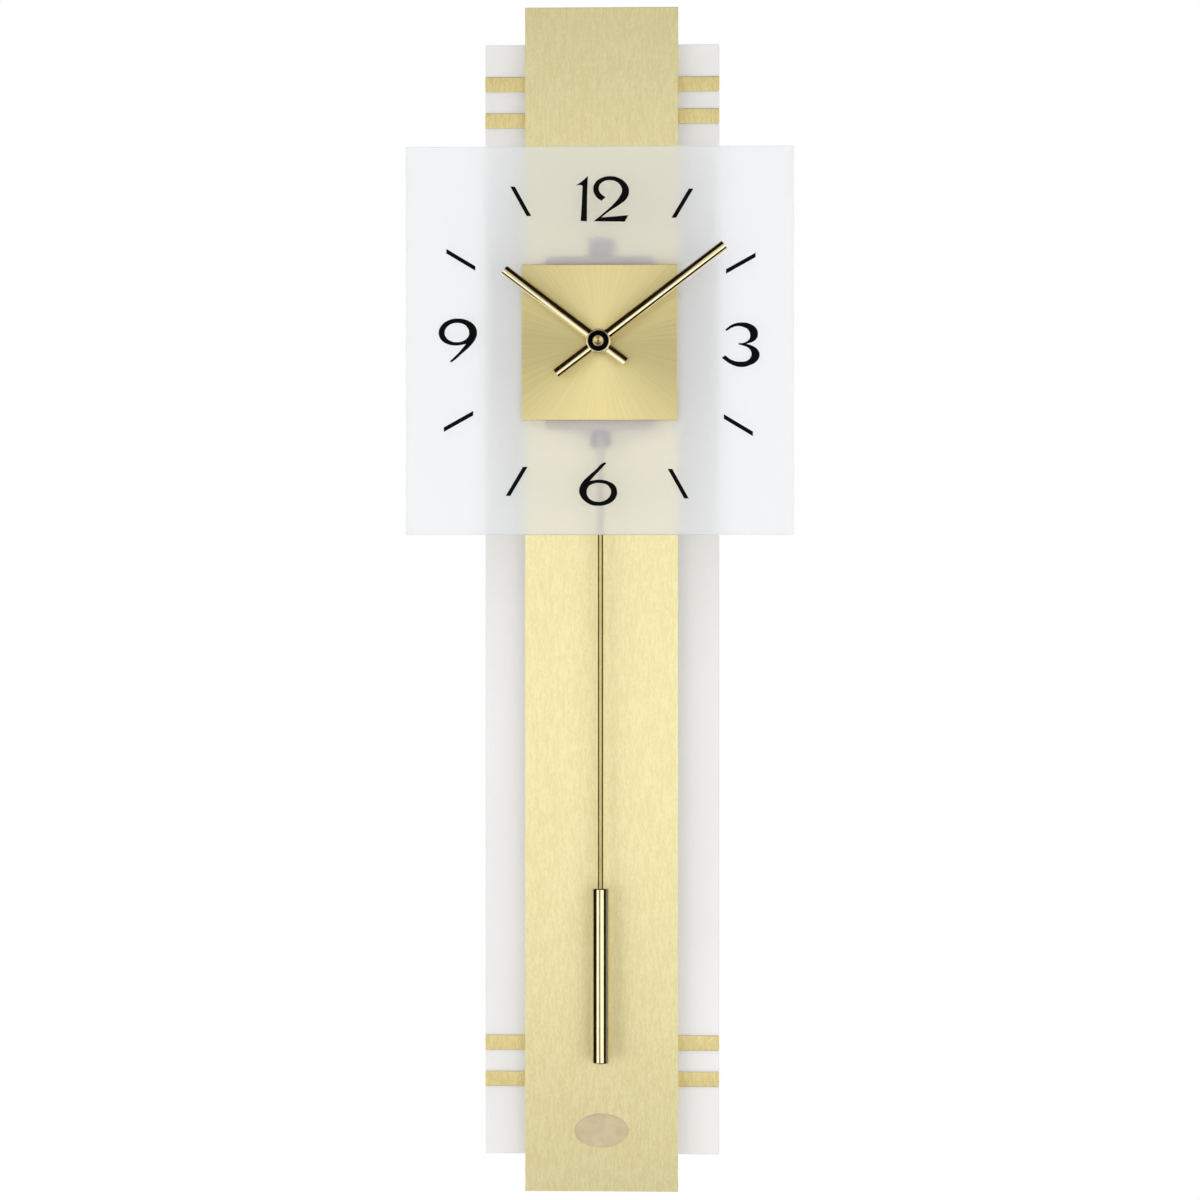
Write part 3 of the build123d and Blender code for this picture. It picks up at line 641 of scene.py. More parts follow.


# Movement case: the front shell of the quartz movement, injection moulded in plastic, tinted tan as
# painted shade and warm light.
# A threaded neck carries the dial, two ribs cradle the cell, and a slot below lets the lever swing.
case_low = Vector((-31 * mm, -48 * mm, -178 * mm))
case_high = Vector((31 * mm, -23.5 * mm, -80 * mm))
case_wall = 1.5 * mm
case_corner = 3.0 * mm
case_edge = 0.8 * mm
dial_z = -129 * mm
neck_radius = 4.0 * mm
neck_front = -60 * mm
neck_bore = 2.5 * mm
thread_pitch = 1.0 * mm
thread_depth = 0.35 * mm
thread_end = 0.3 * mm
cell_y = -36 * mm
cell_z = -92.85 * mm
cell_radius = 7.25 * mm
cell_play = 0.15 * mm
rib_x = 16 * mm
lever_slot_low = Vector((-7.5 * mm, -39.8 * mm, case_low.z - mm))
lever_slot_high = Vector((7.5 * mm, -34.2 * mm, case_low.z + 2 * case_wall))


def moulded_plastic(name, dark, light, shader_values, gloss_range=(0.42, 0.55), cloud_scale=40.0):
    """Plastic from a fine eroded mould."""
    return cloud_material(
        name, dark, light, gloss_range, (cloud_scale, 2500.0), (0.25, 0.03 * mm), shader_values
    )


# Darker and warmer than the case's own pale plastic: painted shade near the centre plate and
# painted warm light from the sheet, seen through the frosted glass.
painted_shade_tan_plastic = moulded_plastic("painted_shade_tan_plastic", (0.43, 0.28, 0.15), (0.49, 0.32, 0.18), {"IOR": 1.5})


def pick_faces(piece, wanted):
    """In edit mode, selects only the faces whose middle and normal pass a test."""
    bpy.ops.mesh.select_mode(type="FACE")
    bpy.ops.mesh.select_all(action="DESELECT")
    shape = bmesh.from_edit_mesh(piece.data)
    for face in shape.faces:
        face.select_set(bool(wanted(face.calc_center_median(), face.normal)))
    bmesh.update_edit_mesh(piece.data)


def pick_edges(piece, wanted):
    """In edit mode, selects only the edges whose two ends pass a test."""
    bpy.ops.mesh.select_mode(type="EDGE")
    bpy.ops.mesh.select_all(action="DESELECT")
    shape = bmesh.from_edit_mesh(piece.data)
    for edge in shape.edges:
        edge.select_set(bool(wanted(edge.verts[0].co, edge.verts[1].co)))
    bmesh.update_edit_mesh(piece.data)


case_shell = add_block("movement_shell", case_low, case_high)
bpy.ops.object.mode_set(mode="EDIT")
pick_edges(case_shell, lambda one, two: abs(one.y - two.y) > mm)
bpy.ops.mesh.bevel(offset=case_corner, segments=6, affect="EDGES")
pick_faces(case_shell, lambda middle, normal: normal.y < -0.9)
bpy.ops.mesh.bevel(offset=case_edge, segments=3, affect="EDGES")
pick_faces(case_shell, lambda middle, normal: normal.y > 0.9)
bpy.ops.mesh.inset(thickness=case_wall)
pull_out((0, case_low.y + case_wall - case_high.y, 0))
bpy.ops.object.mode_set(mode="OBJECT")
neck_profile = [(-0.5 * mm, neck_radius)]
turns = int((case_low.y - neck_front) / thread_pitch)
for turn in range(turns):
    neck_profile.append(((turn + 0.25) * thread_pitch, neck_radius))
    neck_profile.append(((turn + 0.75) * thread_pitch, neck_radius - thread_depth))
neck_profile.append((turns * thread_pitch, neck_radius - thread_end))
weld(case_shell, turn_up("threaded_neck", (0, case_low.y, dial_z), to_front, neck_profile, 48))
for x in (-rib_x, rib_x):
    rib_low = (x - mm, case_low.y + case_wall / 2, cell_z - cell_radius)
    rib_high = (x + mm, cell_y, cell_z + cell_radius)
    rib = add_block("cell_rib", rib_low, rib_high)
    hollow_start = (x - 2 * mm, cell_y, cell_z)
    hollow_end = (x + 2 * mm, cell_y, cell_z)
    carve(rib, add_drum("cell_hollow", cell_radius + cell_play, hollow_start, hollow_end))
    weld(case_shell, rib)
bore_start = (0, neck_front - mm, dial_z)
bore_end = (0, case_low.y + 2 * case_wall, dial_z)
carve(case_shell, add_drum("bore_cut", neck_bore, bore_start, bore_end))
carve(case_shell, add_block("lever_slot_cut", lever_slot_low, lever_slot_high))
smooth(case_shell)
fit(case_shell, "clock_case", "natural_plastic", painted_shade_tan_plastic, "movement_case")


# Movement cover and works: the moulded rear plate with its tab and ears, and what it closes in.
# Wheels are moulded in acetal, pins are steel, the coils are wound with enamelled copper wire.
# All these solids keep their shape and only take their finish.
wire_turns = 700.0
wire_relief = (0.6, 0.1 * mm)


def wound_copper(name, winding_axis):
    """Copper wire whose turns lie side by side along one axis."""
    values = tone_values((0.50, 0.20, 0.10), (0.66, 0.30, 0.15), (0.25, 0.4))
    values["Cloud Scale"] = 80.0
    values["Speck Scale"] = 2500.0
    material, tree, shader, finish = start_material(name, cloud_finish, values, {"Metallic": 1.0})
    place = add_node(tree, "TexCoord")
    turns = add_node(
        tree, "TexWave", {"Scale": wire_turns}, wave_type="BANDS", bands_direction=winding_axis
    )
    tree.links.new(place.outputs["Object"], finish.inputs["Place"])
    tree.links.new(place.outputs["Object"], turns.inputs["Vector"])
    add_relief(tree, shader, turns.outputs[1], *wire_relief)
    return material


copper_wire = wound_copper("copper_wire", "Z")
copper_coil = wound_copper("copper_coil", "Y")
green_board = cloud_material(
    "green_board",
    dark=(0.02, 0.09, 0.04),
    light=(0.035, 0.14, 0.065),
    gloss_range=(0.3, 0.45),
    scales=(300.0, 2000.0),
    relief=(0.2, 0.03 * mm),
    shader_values={"IOR": 1.55},
)
dark_magnet = cloud_material(
    "dark_magnet",
    dark=(0.05, 0.05, 0.055),
    light=(0.10, 0.10, 0.105),
    gloss_range=(0.4, 0.6),
    scales=(200.0, 3000.0),
    relief=(0.3, 0.03 * mm),
    shader_values={"Metallic": 0.6},
)
natural_plastic = moulded_plastic(
    "natural_plastic", (0.70, 0.68, 0.62), (0.78, 0.765, 0.71), {"IOR": 1.5}
)
# Its warm brown tint is painted warm light from the brass sheet, scattered in the frosted glass
# over the cover and the lever.
brown_plastic_painted_glow = moulded_plastic(
    "brown_plastic_painted_glow", (0.06, 0.018, 0.004), (0.09, 0.03, 0.008), {"Specular IOR Level": 0.2}
)
black_plastic = moulded_plastic(
    "black_plastic",
    (0.006, 0.006, 0.006),
    (0.012, 0.012, 0.012),
    {"Specular IOR Level": 0.15},
    gloss_range=(0.35, 0.5),
    cloud_scale=60.0,
)
# The cover wears this brown of painted warm light.
dress(brown_plastic_painted_glow, "movement_cover")
dress(natural_plastic, "train_plate", "third_wheel", "second_wheel", "intermediate_wheel")
dress(natural_plastic, "centre_wheel", "minute_wheel", "hour_wheel")
dress(black_plastic, "setting_knob", "chip_cover")
dress(zinc_steel, "case_screws", "train_screws", "positive_contact", "negative_contact")
dress(zinc_steel, "quartz_crystal", "stator", "centre_arbor", "pivot_pin", "rod_pin")
dress(copper_wire, "stepper_coil")
dress(copper_coil, "drive_coil")
dress(green_board, "circuit_board")
dress(dark_magnet, "rotor", "pendulum_magnet")


# Cell: one AA cell that lies across the movement and is changed from the rear.
# Its steel can wears a plain pale grey sleeve with a dark band at the positive end.
cell_left = -25.25 * mm
cell_length = 49.5 * mm
nub_length = 1.0 * mm
nub_radius = 2.75 * mm
sleeve_start = 1.2 * mm
dark_band = 43.0 * mm
sleeve_end = 48.4 * mm
battery_wrap = bpy.data.materials.new("battery_wrap")
battery_wrap.use_nodes = True
tree = battery_wrap.node_tree
shader = tree.nodes["Principled BSDF"]
shader.inputs["Coat Weight"].default_value = 0.4
shader.inputs["Coat Roughness"].default_value = 0.15
place = add_node(tree, "TexCoord")
along = add_node(tree, "SeparateXYZ")
share = add_node(
    tree, "MapRange", {"From Min": cell_left, "From Max": cell_left + cell_length + nub_length}
)
sleeve = add_node(tree, "ValToRGB")
sleeve.color_ramp.interpolation = "CONSTANT"
bare_metal = add_node(tree, "ValToRGB")
bare_metal.color_ramp.interpolation = "CONSTANT"
steel_tone = (0.62, 0.61, 0.59, 1)
grey_tone = (0.46, 0.48, 0.50, 1)
dark_tone = (0.045, 0.05, 0.055, 1)
bare = (1, 1, 1, 1)
covered = (0, 0, 0, 1)
sleeve_steps = [
    (0, steel_tone, bare),
    (sleeve_start, grey_tone, covered),
    (dark_band, dark_tone, covered),
    (sleeve_end, steel_tone, bare),
]
for ramp, column in ((sleeve.color_ramp, 1), (bare_metal.color_ramp, 2)):
    while len(ramp.elements) < len(sleeve_steps):
        ramp.elements.new(1)
    for element, step in zip(ramp.elements, sleeve_steps):
        element.position = step[0] / (cell_length + nub_length)
        element.color = step[column]
scuffs = add_node(tree, "TexNoise", {"Scale": 300.0, "Detail": 4.0})
gloss = add_node(
    tree, "MapRange", {"From Min": 0.3, "From Max": 0.7, "To Min": 0.25, "To Max": 0.4}
)
tree.links.new(place.outputs["Object"], along.inputs[0])
tree.links.new(along.outputs["X"], share.inputs["Value"])
tree.links.new(share.outputs[0], sleeve.inputs[0])
tree.links.new(share.outputs[0], bare_metal.inputs[0])
tree.links.new(place.outputs["Object"], scuffs.inputs["Vector"])
tree.links.new(scuffs.outputs[0], gloss.inputs["Value"])
tree.links.new(sleeve.outputs[0], shader.inputs["Base Color"])
tree.links.new(bare_metal.outputs[0], shader.inputs["Metallic"])
tree.links.new(gloss.outputs[0], shader.inputs["Roughness"])
cell_profile = [
    (0, 0.72 * cell_radius),
    (0.1 * mm, 0.9 * cell_radius),
    (0.45 * mm, 0.98 * cell_radius),
    (0.8 * mm, cell_radius),
    (cell_length - 1.2 * mm, cell_radius),
    (cell_length - 0.6 * mm, 0.96 * cell_radius),
    (cell_length - 0.2 * mm, 0.86 * cell_radius),
    (cell_length, 0.78 * cell_radius),
    (cell_length, nub_radius),
    (cell_length + 0.8 * nub_length, nub_radius),
    (cell_length + nub_length, nub_radius - 0.35 * mm),
]
aa_cell = turn_up("aa_cell", (cell_left, cell_y, cell_z), (1, 0, 0), cell_profile)
smooth(aa_cell)
fit(aa_cell, "clock_case", "battery_wrap", battery_wrap, "battery")


# Pendulum lever: a moulded arm on a steel pin, with the drive magnet in its boss.
# Below the case it widens to a fork that takes the rod on a cross pin.
pendulum_y = -37 * mm
pivot_z = -153 * mm
magnet_z = -167 * mm
fork_low = Vector((-5.75 * mm, -41 * mm, -188 * mm))
fork_high = Vector((5.75 * mm, -33 * mm, -179.5 * mm))
fork_edge = 0.8 * mm
rod_slot_half = 1.8 * mm
rod_slot_roof = 1.5 * mm
arm_low = (-3 * mm, -39 * mm, fork_high.z - mm)
arm_high = (3 * mm, -35 * mm, pivot_z)
arm_edge = 0.4 * mm
magnet_hole = 4.02 * mm
magnet_floor = -38 * mm
eye_hole = 1.05 * mm
lever_arm = add_block("swing_lever", fork_low, fork_high)
round_edges(lever_arm, fork_edge)
rod_slot_low = (-rod_slot_half, fork_low.y - mm, fork_low.z - mm)
rod_slot_high = (rod_slot_half, fork_high.y + mm, fork_high.z - rod_slot_roof)
carve(lever_arm, add_block("rod_slot_cut", rod_slot_low, rod_slot_high))
arm = add_block("arm", arm_low, arm_high)
round_edges(arm, arm_edge, 2)
weld(lever_arm, arm)
boss_profile = [
    (-2 * mm, 5.3 * mm),
    (-1.8 * mm, 5.5 * mm),
    (1.8 * mm, 5.5 * mm),
    (2 * mm, 5.3 * mm),
]
weld(lever_arm, turn_up("magnet_boss", (0, pendulum_y, magnet_z), to_rear, boss_profile))
magnet_start = (0, magnet_floor, magnet_z)
magnet_end = (0, magnet_floor + 4 * mm, magnet_z)
carve(lever_arm, add_drum("magnet_cut", magnet_hole, magnet_start, magnet_end, 64))
eye_profile = [
    (-4 * mm, 3.3 * mm),
    (-3.8 * mm, 3.5 * mm),
    (3.8 * mm, 3.5 * mm),
    (4 * mm, 3.3 * mm),
]
weld(lever_arm, turn_up("pivot_eye", (0, pendulum_y, pivot_z), to_rear, eye_profile))
eye_start = (0, pendulum_y - 5 * mm, pivot_z)
eye_end = (0, pendulum_y + 5 * mm, pivot_z)
carve(lever_arm, add_drum("eye_cut", eye_hole, eye_start, eye_end))
smooth(lever_arm)
# The lever is black plastic; the warm brown it wears is painted warm light from the sheet.
fit(lever_arm, "pendulum", "black_plastic", brown_plastic_painted_glow, "pendulum_lever")


# Pendulum rod: a thin drawn brass rod, polished, pinned in the fork.
# The bob is a slim brass cylinder with broken edges, polished and lacquered.
def plain_brass(name, dark, light, gloss_range, relief_strength):
    """Brass without a grain, from mirror bright to satin."""
    relief = (relief_strength, 0.01 * mm)
    return cloud_material(name, dark, light, gloss_range, (90.0, 2500.0), relief, {"Metallic": 1.0})


polished_brass = plain_brass(
    "polished_brass", (0.775, 0.68, 0.42), (0.835, 0.745, 0.485), (0.05, 0.11), 0.02
)
# The rod is the same polished brass as the bob; this darker copy of it is painted shade on the thin
# rod.
rod_brass_painted_shade = plain_brass(
    "rod_brass_painted_shade", (0.50, 0.41, 0.185), (0.60, 0.50, 0.235), (0.09, 0.15), 0.05
)
low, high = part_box("pendulum_rod")
rod_radius = (high.x - low.x) / 2
rod_length = high.z - low.z
rod_profile = [
    (0, 0.7 * rod_radius),
    (0.15 * mm, 0.9 * rod_radius),
    (0.4 * mm, rod_radius),
    (rod_length - 0.4 * mm, rod_radius),
    (rod_length, 0.8 * rod_radius),
]
downwards = (0, 0, -1)
brass_rod = turn_up("brass_rod", (0, pendulum_y, high.z), downwards, rod_profile, 48)
smooth(brass_rod)
fit(brass_rod, "pendulum", "polished_brass", rod_brass_painted_shade, "pendulum_rod")
low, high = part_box("pendulum_bob")
bob_radius = (high.x - low.x) / 2
bob_length = high.z - low.z
bob_profile = [
    (0, bob_radius - 0.7 * mm),
    (0.08 * mm, bob_radius - 0.5 * mm),
    (0.45 * mm, bob_radius - 0.12 * mm),
    (0.7 * mm, bob_radius),
    (bob_length - 0.7 * mm, bob_radius),
    (bob_length - 0.45 * mm, bob_radius - 0.12 * mm),
    (bob_length - 0.08 * mm, bob_radius - 0.5 * mm),
    (bob_length, bob_radius - 0.7 * mm),
]
brass_bob = turn_up("brass_bob", (0, pendulum_y, high.z), downwards, bob_profile, 96)
smooth(brass_bob)
fit(brass_bob, "pendulum", "polished_brass", polished_brass, "pendulum_bob")


# Dial pane: float glass, satin etched on the rear, with polished edges, drilled for the neck.
# A rubber washer sits between it and the movement, and a steel washer and nut clamp it.
pane_edge = 0.6 * mm
neck_hole = 4.2 * mm
black_rubber = cloud_material(
    "black_rubber",
    dark=(0.012, 0.012, 0.012),
    light=(0.03, 0.03, 0.03),
    gloss_range=(0.7, 0.9),
    scales=(200.0, 3000.0),
    relief=(0.4, 0.05 * mm),
    shader_values={"IOR": 1.5},
)
dress(black_rubber, "dial_washer")
dress(zinc_steel, "fixing_washer", "fixing_nut")
frosted_glass = cloud_material(
    "frosted_glass",
    dark=(0.945, 0.96, 0.975),
    light=(0.955, 0.97, 0.985),
    gloss_range=(0.33, 0.37),
    scales=(14.0, 3000.0),
    relief=(0.03, 0.01 * mm),
    shader_values={"Transmission Weight": 0.72, "IOR": 1.5},
)


def drill_for_neck(pane, low, high):
    """Drills the hole that the movement's neck passes through."""
    start = (0, low.y - mm, dial_z)
    end = (0, high.y + mm, dial_z)
    carve(pane, add_drum("neck_cut", neck_hole, start, end, 64))


low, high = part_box("dial_glass")
dial_pane = add_block("dial_pane", low, high)
round_edges(dial_pane, pane_edge)
drill_for_neck(dial_pane, low, high)
smooth(dial_pane)
dial_pane.visible_shadow = False
dial_pane.visible_glossy = False
fit(dial_pane, "clock_case", "frosted_glass", frosted_glass, "dial_glass")
glass_front = low.y


# Dial print: black enamel figures and hour bars, screen printed on the front of the glass.
# The figures are drawn with a broad pen: thick where the stroke turns, thin along the diagonals.
# The screen sat a little askew, so the whole print is turned on the glass.
ink_thick = 0.06 * mm
print_turn = math.radians(0.85)
black_ink = cloud_material(
    "black_ink",
    dark=(0.001, 0.001, 0.0012),
    light=(0.003, 0.003, 0.0035),
    gloss_range=(0.45, 0.6),
    scales=(80.0, 4000.0),
    relief=(0.15, 0.02 * mm),
    shader_values={"Specular IOR Level": 0.06},
)


def print_figure(name, middle, outlines):
    """Inks closed outlines in millimetres about their middle. Corners go by their number."""
    drawing = bpy.data.curves.new(name, "CURVE")
    drawing.dimensions = "2D"
    drawing.fill_mode = "BOTH"
    drawing.resolution_u = 8
    for points, corners in outlines:
        outline = drawing.splines.new("BEZIER")
        outline.use_cyclic_u = True
        outline.bezier_points.add(len(points) - 1)
        for number, (knot, (x, z)) in enumerate(zip(outline.bezier_points, points)):
            knot.co = (x * mm, z * mm, 0)
            kind = "VECTOR" if number in corners else "AUTO"
            knot.handle_left_type = kind
            knot.handle_right_type = kind
    figure = bpy.data.objects.new(name, drawing)
    scene.collection.objects.link(figure)
    take_up(figure)
    bpy.ops.object.convert(target="MESH")
    figure = bpy.context.object
    start_edit()
    bpy.ops.mesh.remove_doubles(threshold=merge_gap)
    pull_out((0, 0, ink_thick))
    end_edit()
    spot = Vector((middle[0] * mm, middle[1] * mm))
    x = spot.x * math.cos(print_turn) + spot.y * math.sin(print_turn)
    z = spot.y * math.cos(print_turn) - spot.x * math.sin(print_turn)
    figure.rotation_euler = (math.pi / 2, print_turn, 0)
    figure.location = (x, glass_front, dial_z + z)
    bpy.ops.object.transform_apply(location=True, rotation=True, scale=True)
    fit(figure, "clock_case", "black_plastic", black_ink)


one = [
    (-15.1, 7.3), (-12.1, 9.4), (-8.3, 12.8), (-8.5, 6.9), (-8.6, -1.6),
    (-8.5, -12.8), (-12.1, -12.8), (-11.6, -2.7), (-11.3, 7.2), (-12.7, 7.6),
]
two = [
    (-0.5, -1.2), (-3.5, 1.1), (-5.2, 5.3), (-4.1, 9.1), (-0.5, 11.8), (4.5, 12.8), (10.0, 11.5),
    (13.8, 8.3), (15.1, 4.5), (13.8, 0.3), (9.5, -3.4), (4.1, -7.0), (-0.4, -10.6), (6.0, -10.0),
    (14.9, -9.1), (12.9, -12.8), (-4.7, -12.8), (0.5, -8.4), (6.0, -3.3), (9.8, 1.4), (11.1, 5.0),
    (10.0, 7.8), (7.6, 9.8), (4.1, 10.5), (0.3, 9.6), (-2.0, 6.7), (-1.4, 3.6), (1.8, 0.8),
]
print_figure("figure_12", (0.4, 81.3), [(one, (0, 2, 5, 6, 8)), (two, (0, 12, 14, 15, 16, 27))])
three = [
    (-8.1, 7.7), (-9.0, 8.5), (-4.8, 11.5), (0.3, 12.6), (5.4, 11.7), (8.7, 9.2), (9.6, 6.1),
    (8.4, 3.0), (5.4, 1.2), (3.2, 0.6), (6.6, -0.5), (9.7, -2.8), (10.7, -5.6), (9.3, -9.0),
    (5.4, -11.5), (0.5, -12.6), (-4.8, -11.4), (-10.7, -7.5), (-8.7, -6.1), (-5.3, -8.5),
    (-0.2, -9.6), (4.1, -8.7), (5.9, -6.4), (5.9, -3.9), (4.1, -1.6), (1.3, -0.5), (-1.3, 0.2),
    (-1.4, 0.8), (2.1, 1.3), (4.6, 3.1), (5.2, 5.4), (4.1, 8.4), (1.3, 10.0), (-1.8, 10.5),
    (-5.1, 9.6),
]
print_figure("figure_3", (80.0, -0.3), [(three, (0, 1, 9, 17, 18, 26, 27))])
six = [
    (4.4, 11.9), (3.8, 12.3), (2.5, 12.0), (-1.6, 8.1), (-6.5, 3.7), (-9.5, 0.2), (-10.8, -3.6),
    (-9.9, -7.0), (-6.8, -10.3), (-3.5, -11.9), (0.3, -12.3), (4.7, -11.6), (8.6, -9.4),
    (10.5, -6.4), (10.8, -4.2), (9.4, -0.6), (6.1, 1.5), (1.2, 2.5), (-4.7, 1.8), (-1.6, 5.4),
    (1.7, 8.9),
]
six_eye = [
    (1.2, 0.6), (4.5, -0.1), (6.8, -2.4), (7.3, -4.5), (6.1, -7.4), (3.4, -9.4),
    (0.1, -10.0), (-3.5, -9.2), (-5.7, -7.2), (-6.5, -4.5), (-5.3, -1.3), (-2.4, 0.3),
]
print_figure("figure_6", (0.5, -80.2), [(six, (0, 18)), (six_eye, ())])
nine = [
    (-4.2, -11.7), (-3.7, -12.4), (-2.4, -11.7), (2.2, -7.7), (7.3, -2.9), (10.1, 1.1), (10.9, 4.7),
    (9.5, 8.5), (5.7, 11.3), (0.0, 12.4), (-5.5, 11.3), (-9.5, 8.2), (-10.9, 4.2), (-9.4, 0.2),
    (-5.7, -2.2), (-0.9, -2.9), (4.6, -2.0), (1.7, -5.7), (-1.9, -9.5),
]
nine_eye = [
    (0.0, 9.9), (-3.4, 9.4), (-6.2, 7.5), (-7.5, 4.4), (-6.5, 1.5), (-3.7, -0.5),
    (-0.8, -1.0), (2.9, -0.3), (5.6, 1.8), (6.4, 4.2), (5.5, 7.2), (3.2, 9.2),
]
print_figure("figure_9", (-80.4, 0.1), [(nine, (0, 16)), (nine_eye, ())])
bar_inner = 71.0
bar_outer = 87.6
bar_half_width = 1.3
degrees_per_hour = 30
for hour in (1, 2, 4, 5, 7, 8, 10, 11):
    angle = math.radians(degrees_per_hour * hour)
    lean_x = math.sin(angle)
    lean_z = math.cos(angle)
    upright = abs(lean_z) > abs(lean_x)
    side = (bar_half_width, 0) if upright else (0, bar_half_width)
    long_way = max(abs(lean_x), abs(lean_z))
    ends = [
        (lean_x * reach / long_way, lean_z * reach / long_way) for reach in (bar_inner, bar_outer)
    ]
    middle = [(ends[0][axis] + ends[1][axis]) / 2 for axis in (0, 1)]
    corners = [
        (ends[end][0] - middle[0] + way * side[0], ends[end][1] - middle[1] + way * side[1])
        for end, way in ((0, -1), (1, -1), (1, 1), (0, 1))
    ]
    print_figure(f"hour_bar_{hour}", middle, [(corners, (0, 1, 2, 3))])


# Centre plate: a square of the sheet's metal, spun under a brush so that hairlines run outwards.
# It lies on the glass under the nut, with broken edges.
ray_fineness = 90.0
ray_relief = (0.05, 0.02 * mm)
sunburst_brass_tone, tree, shader, finish = start_material(
    "sunburst_brass_tone",
    brush_finish,
    tone_values((0.875, 0.75, 0.355), (0.93, 0.81, 0.395), (0.37, 0.39)),
    {"Metallic": 1.0, "Anisotropic": 0.65},
)
place = add_node(tree, "TexCoord")
from_middle = add_node(tree, "Mapping", {"Location": (0, 0, -dial_z), "Scale": (1, 0, 1)})
outwards = add_node(tree, "VectorMath", operation="NORMALIZE")
rays = add_node(tree, "VectorMath", {3: ray_fineness}, operation="SCALE")
lie = add_node(tree, "Tangent", direction_type="RADIAL", axis="Y")
tree.links.new(place.outputs["Object"], from_middle.inputs["Vector"])
tree.links.new(from_middle.outputs[0], outwards.inputs[0])
tree.links.new(outwards.outputs[0], rays.inputs[0])
tree.links.new(rays.outputs[0], finish.inputs["Place"])
tree.links.new(lie.outputs[0], shader.inputs["Tangent"])
add_relief(tree, shader, finish.outputs["Height"], *ray_relief)
low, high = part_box("centre_plate")
square_plate = add_block("square_plate", low, high)
round_edges(square_plate, sheet_edge, 2)
drill_for_neck(square_plate, low, high)
smooth(square_plate)
fit(square_plate, "clock_case", "brushed_brass_tone", sunburst_brass_tone, "centre_plate")


# Hands: half-round channels rolled from thin brass, polished, brazed through a turned hub.
# The hour hand's collet grips the hour tube, the minute hand's grips the arbor in front of it.
channel_radius = 2.75 * mm
channel_wall = 0.5 * mm
hub_radius = 6.8 * mm
hub_thick = 2.9 * mm
collet_radius = 3.6 * mm


def make_hand(name, node, body, reach, tail, clock_angle, channel_rear, collet_length, bore):
    """A channel laid through the hub at its clock angle, with the collet behind it."""
    angle = math.radians(clock_angle)
    middle = (reach - tail) / 2
    bpy.ops.mesh.primitive_cylinder_add(
        vertices=96,
        radius=channel_radius,
        depth=reach + tail,
        end_fill_type="NOTHING",
        location=(math.sin(angle) * middle, channel_rear, dial_z + math.cos(angle) * middle),
        rotation=(0, angle, 0),
    )
    hand = settle(name)
    start_edit()
    bpy.ops.mesh.bisect(plane_co=(0, channel_rear, 0), plane_no=(0, 1, 0), clear_outer=True)
    bpy.ops.object.mode_set(mode="OBJECT")
    wall = hand.modifiers.new("wall", "SOLIDIFY")
    wall.thickness = channel_wall
    wall.offset = -1
    apply_modifier(hand, wall)
    hub_profile = [
        (-collet_length, collet_radius - 0.2 * mm),
        (-collet_length + 0.2 * mm, collet_radius),
        (0, collet_radius),
        (0, hub_radius - 0.2 * mm),
        (0.2 * mm, hub_radius),
        (hub_thick - 0.5 * mm, hub_radius),
        (hub_thick - 0.15 * mm, hub_radius - 0.2 * mm),
        (hub_thick, hub_radius - 0.6 * mm),
    ]
    hub = turn_up("hub", (0, channel_rear, dial_z), to_front, hub_profile, 96)
    weld(hand, hub)
    bore_start = (0, channel_rear + collet_length + mm, dial_z)
    bore_end = (0, channel_rear - hub_thick - mm, dial_z)
    carve(hand, add_drum("bore_cut", bore, bore_start, bore_end))
    smooth(hand)
    fit(hand, body, "bright_brass_tone", polished_brass, node)


make_hand(
    "hour_bar_hand",
    "hour_hand",
    "hour_train",
    reach=67 * mm,
    tail=19 * mm,
    clock_angle=307.2,
    channel_rear=-62.8 * mm,
    collet_length=2.0 * mm,
    bore=2.47 * mm,
)
make_hand(
    "minute_bar_hand",
    "minute_hand",
    "minute_train",
    reach=89 * mm,
    tail=30 * mm,
    clock_angle=52.7,
    channel_rear=-67.8 * mm,
    collet_length=0.8 * mm,
    bore=1.77 * mm,
)


# Hand cap: a black lacquered cone pressed on the arbor, with a satin brass button let into it,
# darkened as painted shade.
# The button is drilled with a shallow cone that catches the light.
cap_rear = -70.7 * mm
cap_profile = [
    (0, 5.7 * mm),
    (0.1 * mm, 5.8 * mm),
    (0.6 * mm, 5.8 * mm),
    (0.85 * mm, 5.6 * mm),
    (2.2 * mm, 3.9 * mm),
    (2.4 * mm, 3.6 * mm),
    (2.45 * mm, 3.3 * mm),
    (2.0 * mm, 3.25 * mm),
]
button_profile = [
    (1.6 * mm, 3.15 * mm),
    (2.5 * mm, 3.2 * mm),
    (2.7 * mm, 3.0 * mm),
    (2.78 * mm, 2.65 * mm),
    (2.7 * mm, 2.35 * mm),
    (1.9 * mm, 0.15 * mm),
]
black_lacquer = cloud_material(
    "black_lacquer",
    dark=(0.001, 0.001, 0.001),
    light=(0.003, 0.003, 0.003),
    gloss_range=(0.3, 0.4),
    scales=(200.0, 3000.0),
    relief=(0.05, 0.01 * mm),
    shader_values={"Specular IOR Level": 0.05},
)
black_cap = turn_up("black_cap", (0, cap_rear, dial_z), to_front, cap_profile, 96)
smooth(black_cap)
fit(black_cap, "minute_train", "black_plastic", black_lacquer, "hand_cap")
brass_button = turn_up("brass_button", (0, cap_rear, dial_z), to_front, button_profile, 96)
smooth(brass_button)
# A darker copy of the polished brass: painted shade for the dark reflections in the button's
# drilled cone.
button_brass_painted_shade = plain_brass(
    "button_brass_painted_shade", (0.58, 0.47, 0.22), (0.68, 0.56, 0.28), (0.30, 0.38), 0.05
)
fit(brass_button, "minute_train", "polished_brass", button_brass_painted_shade, "hand_cap")


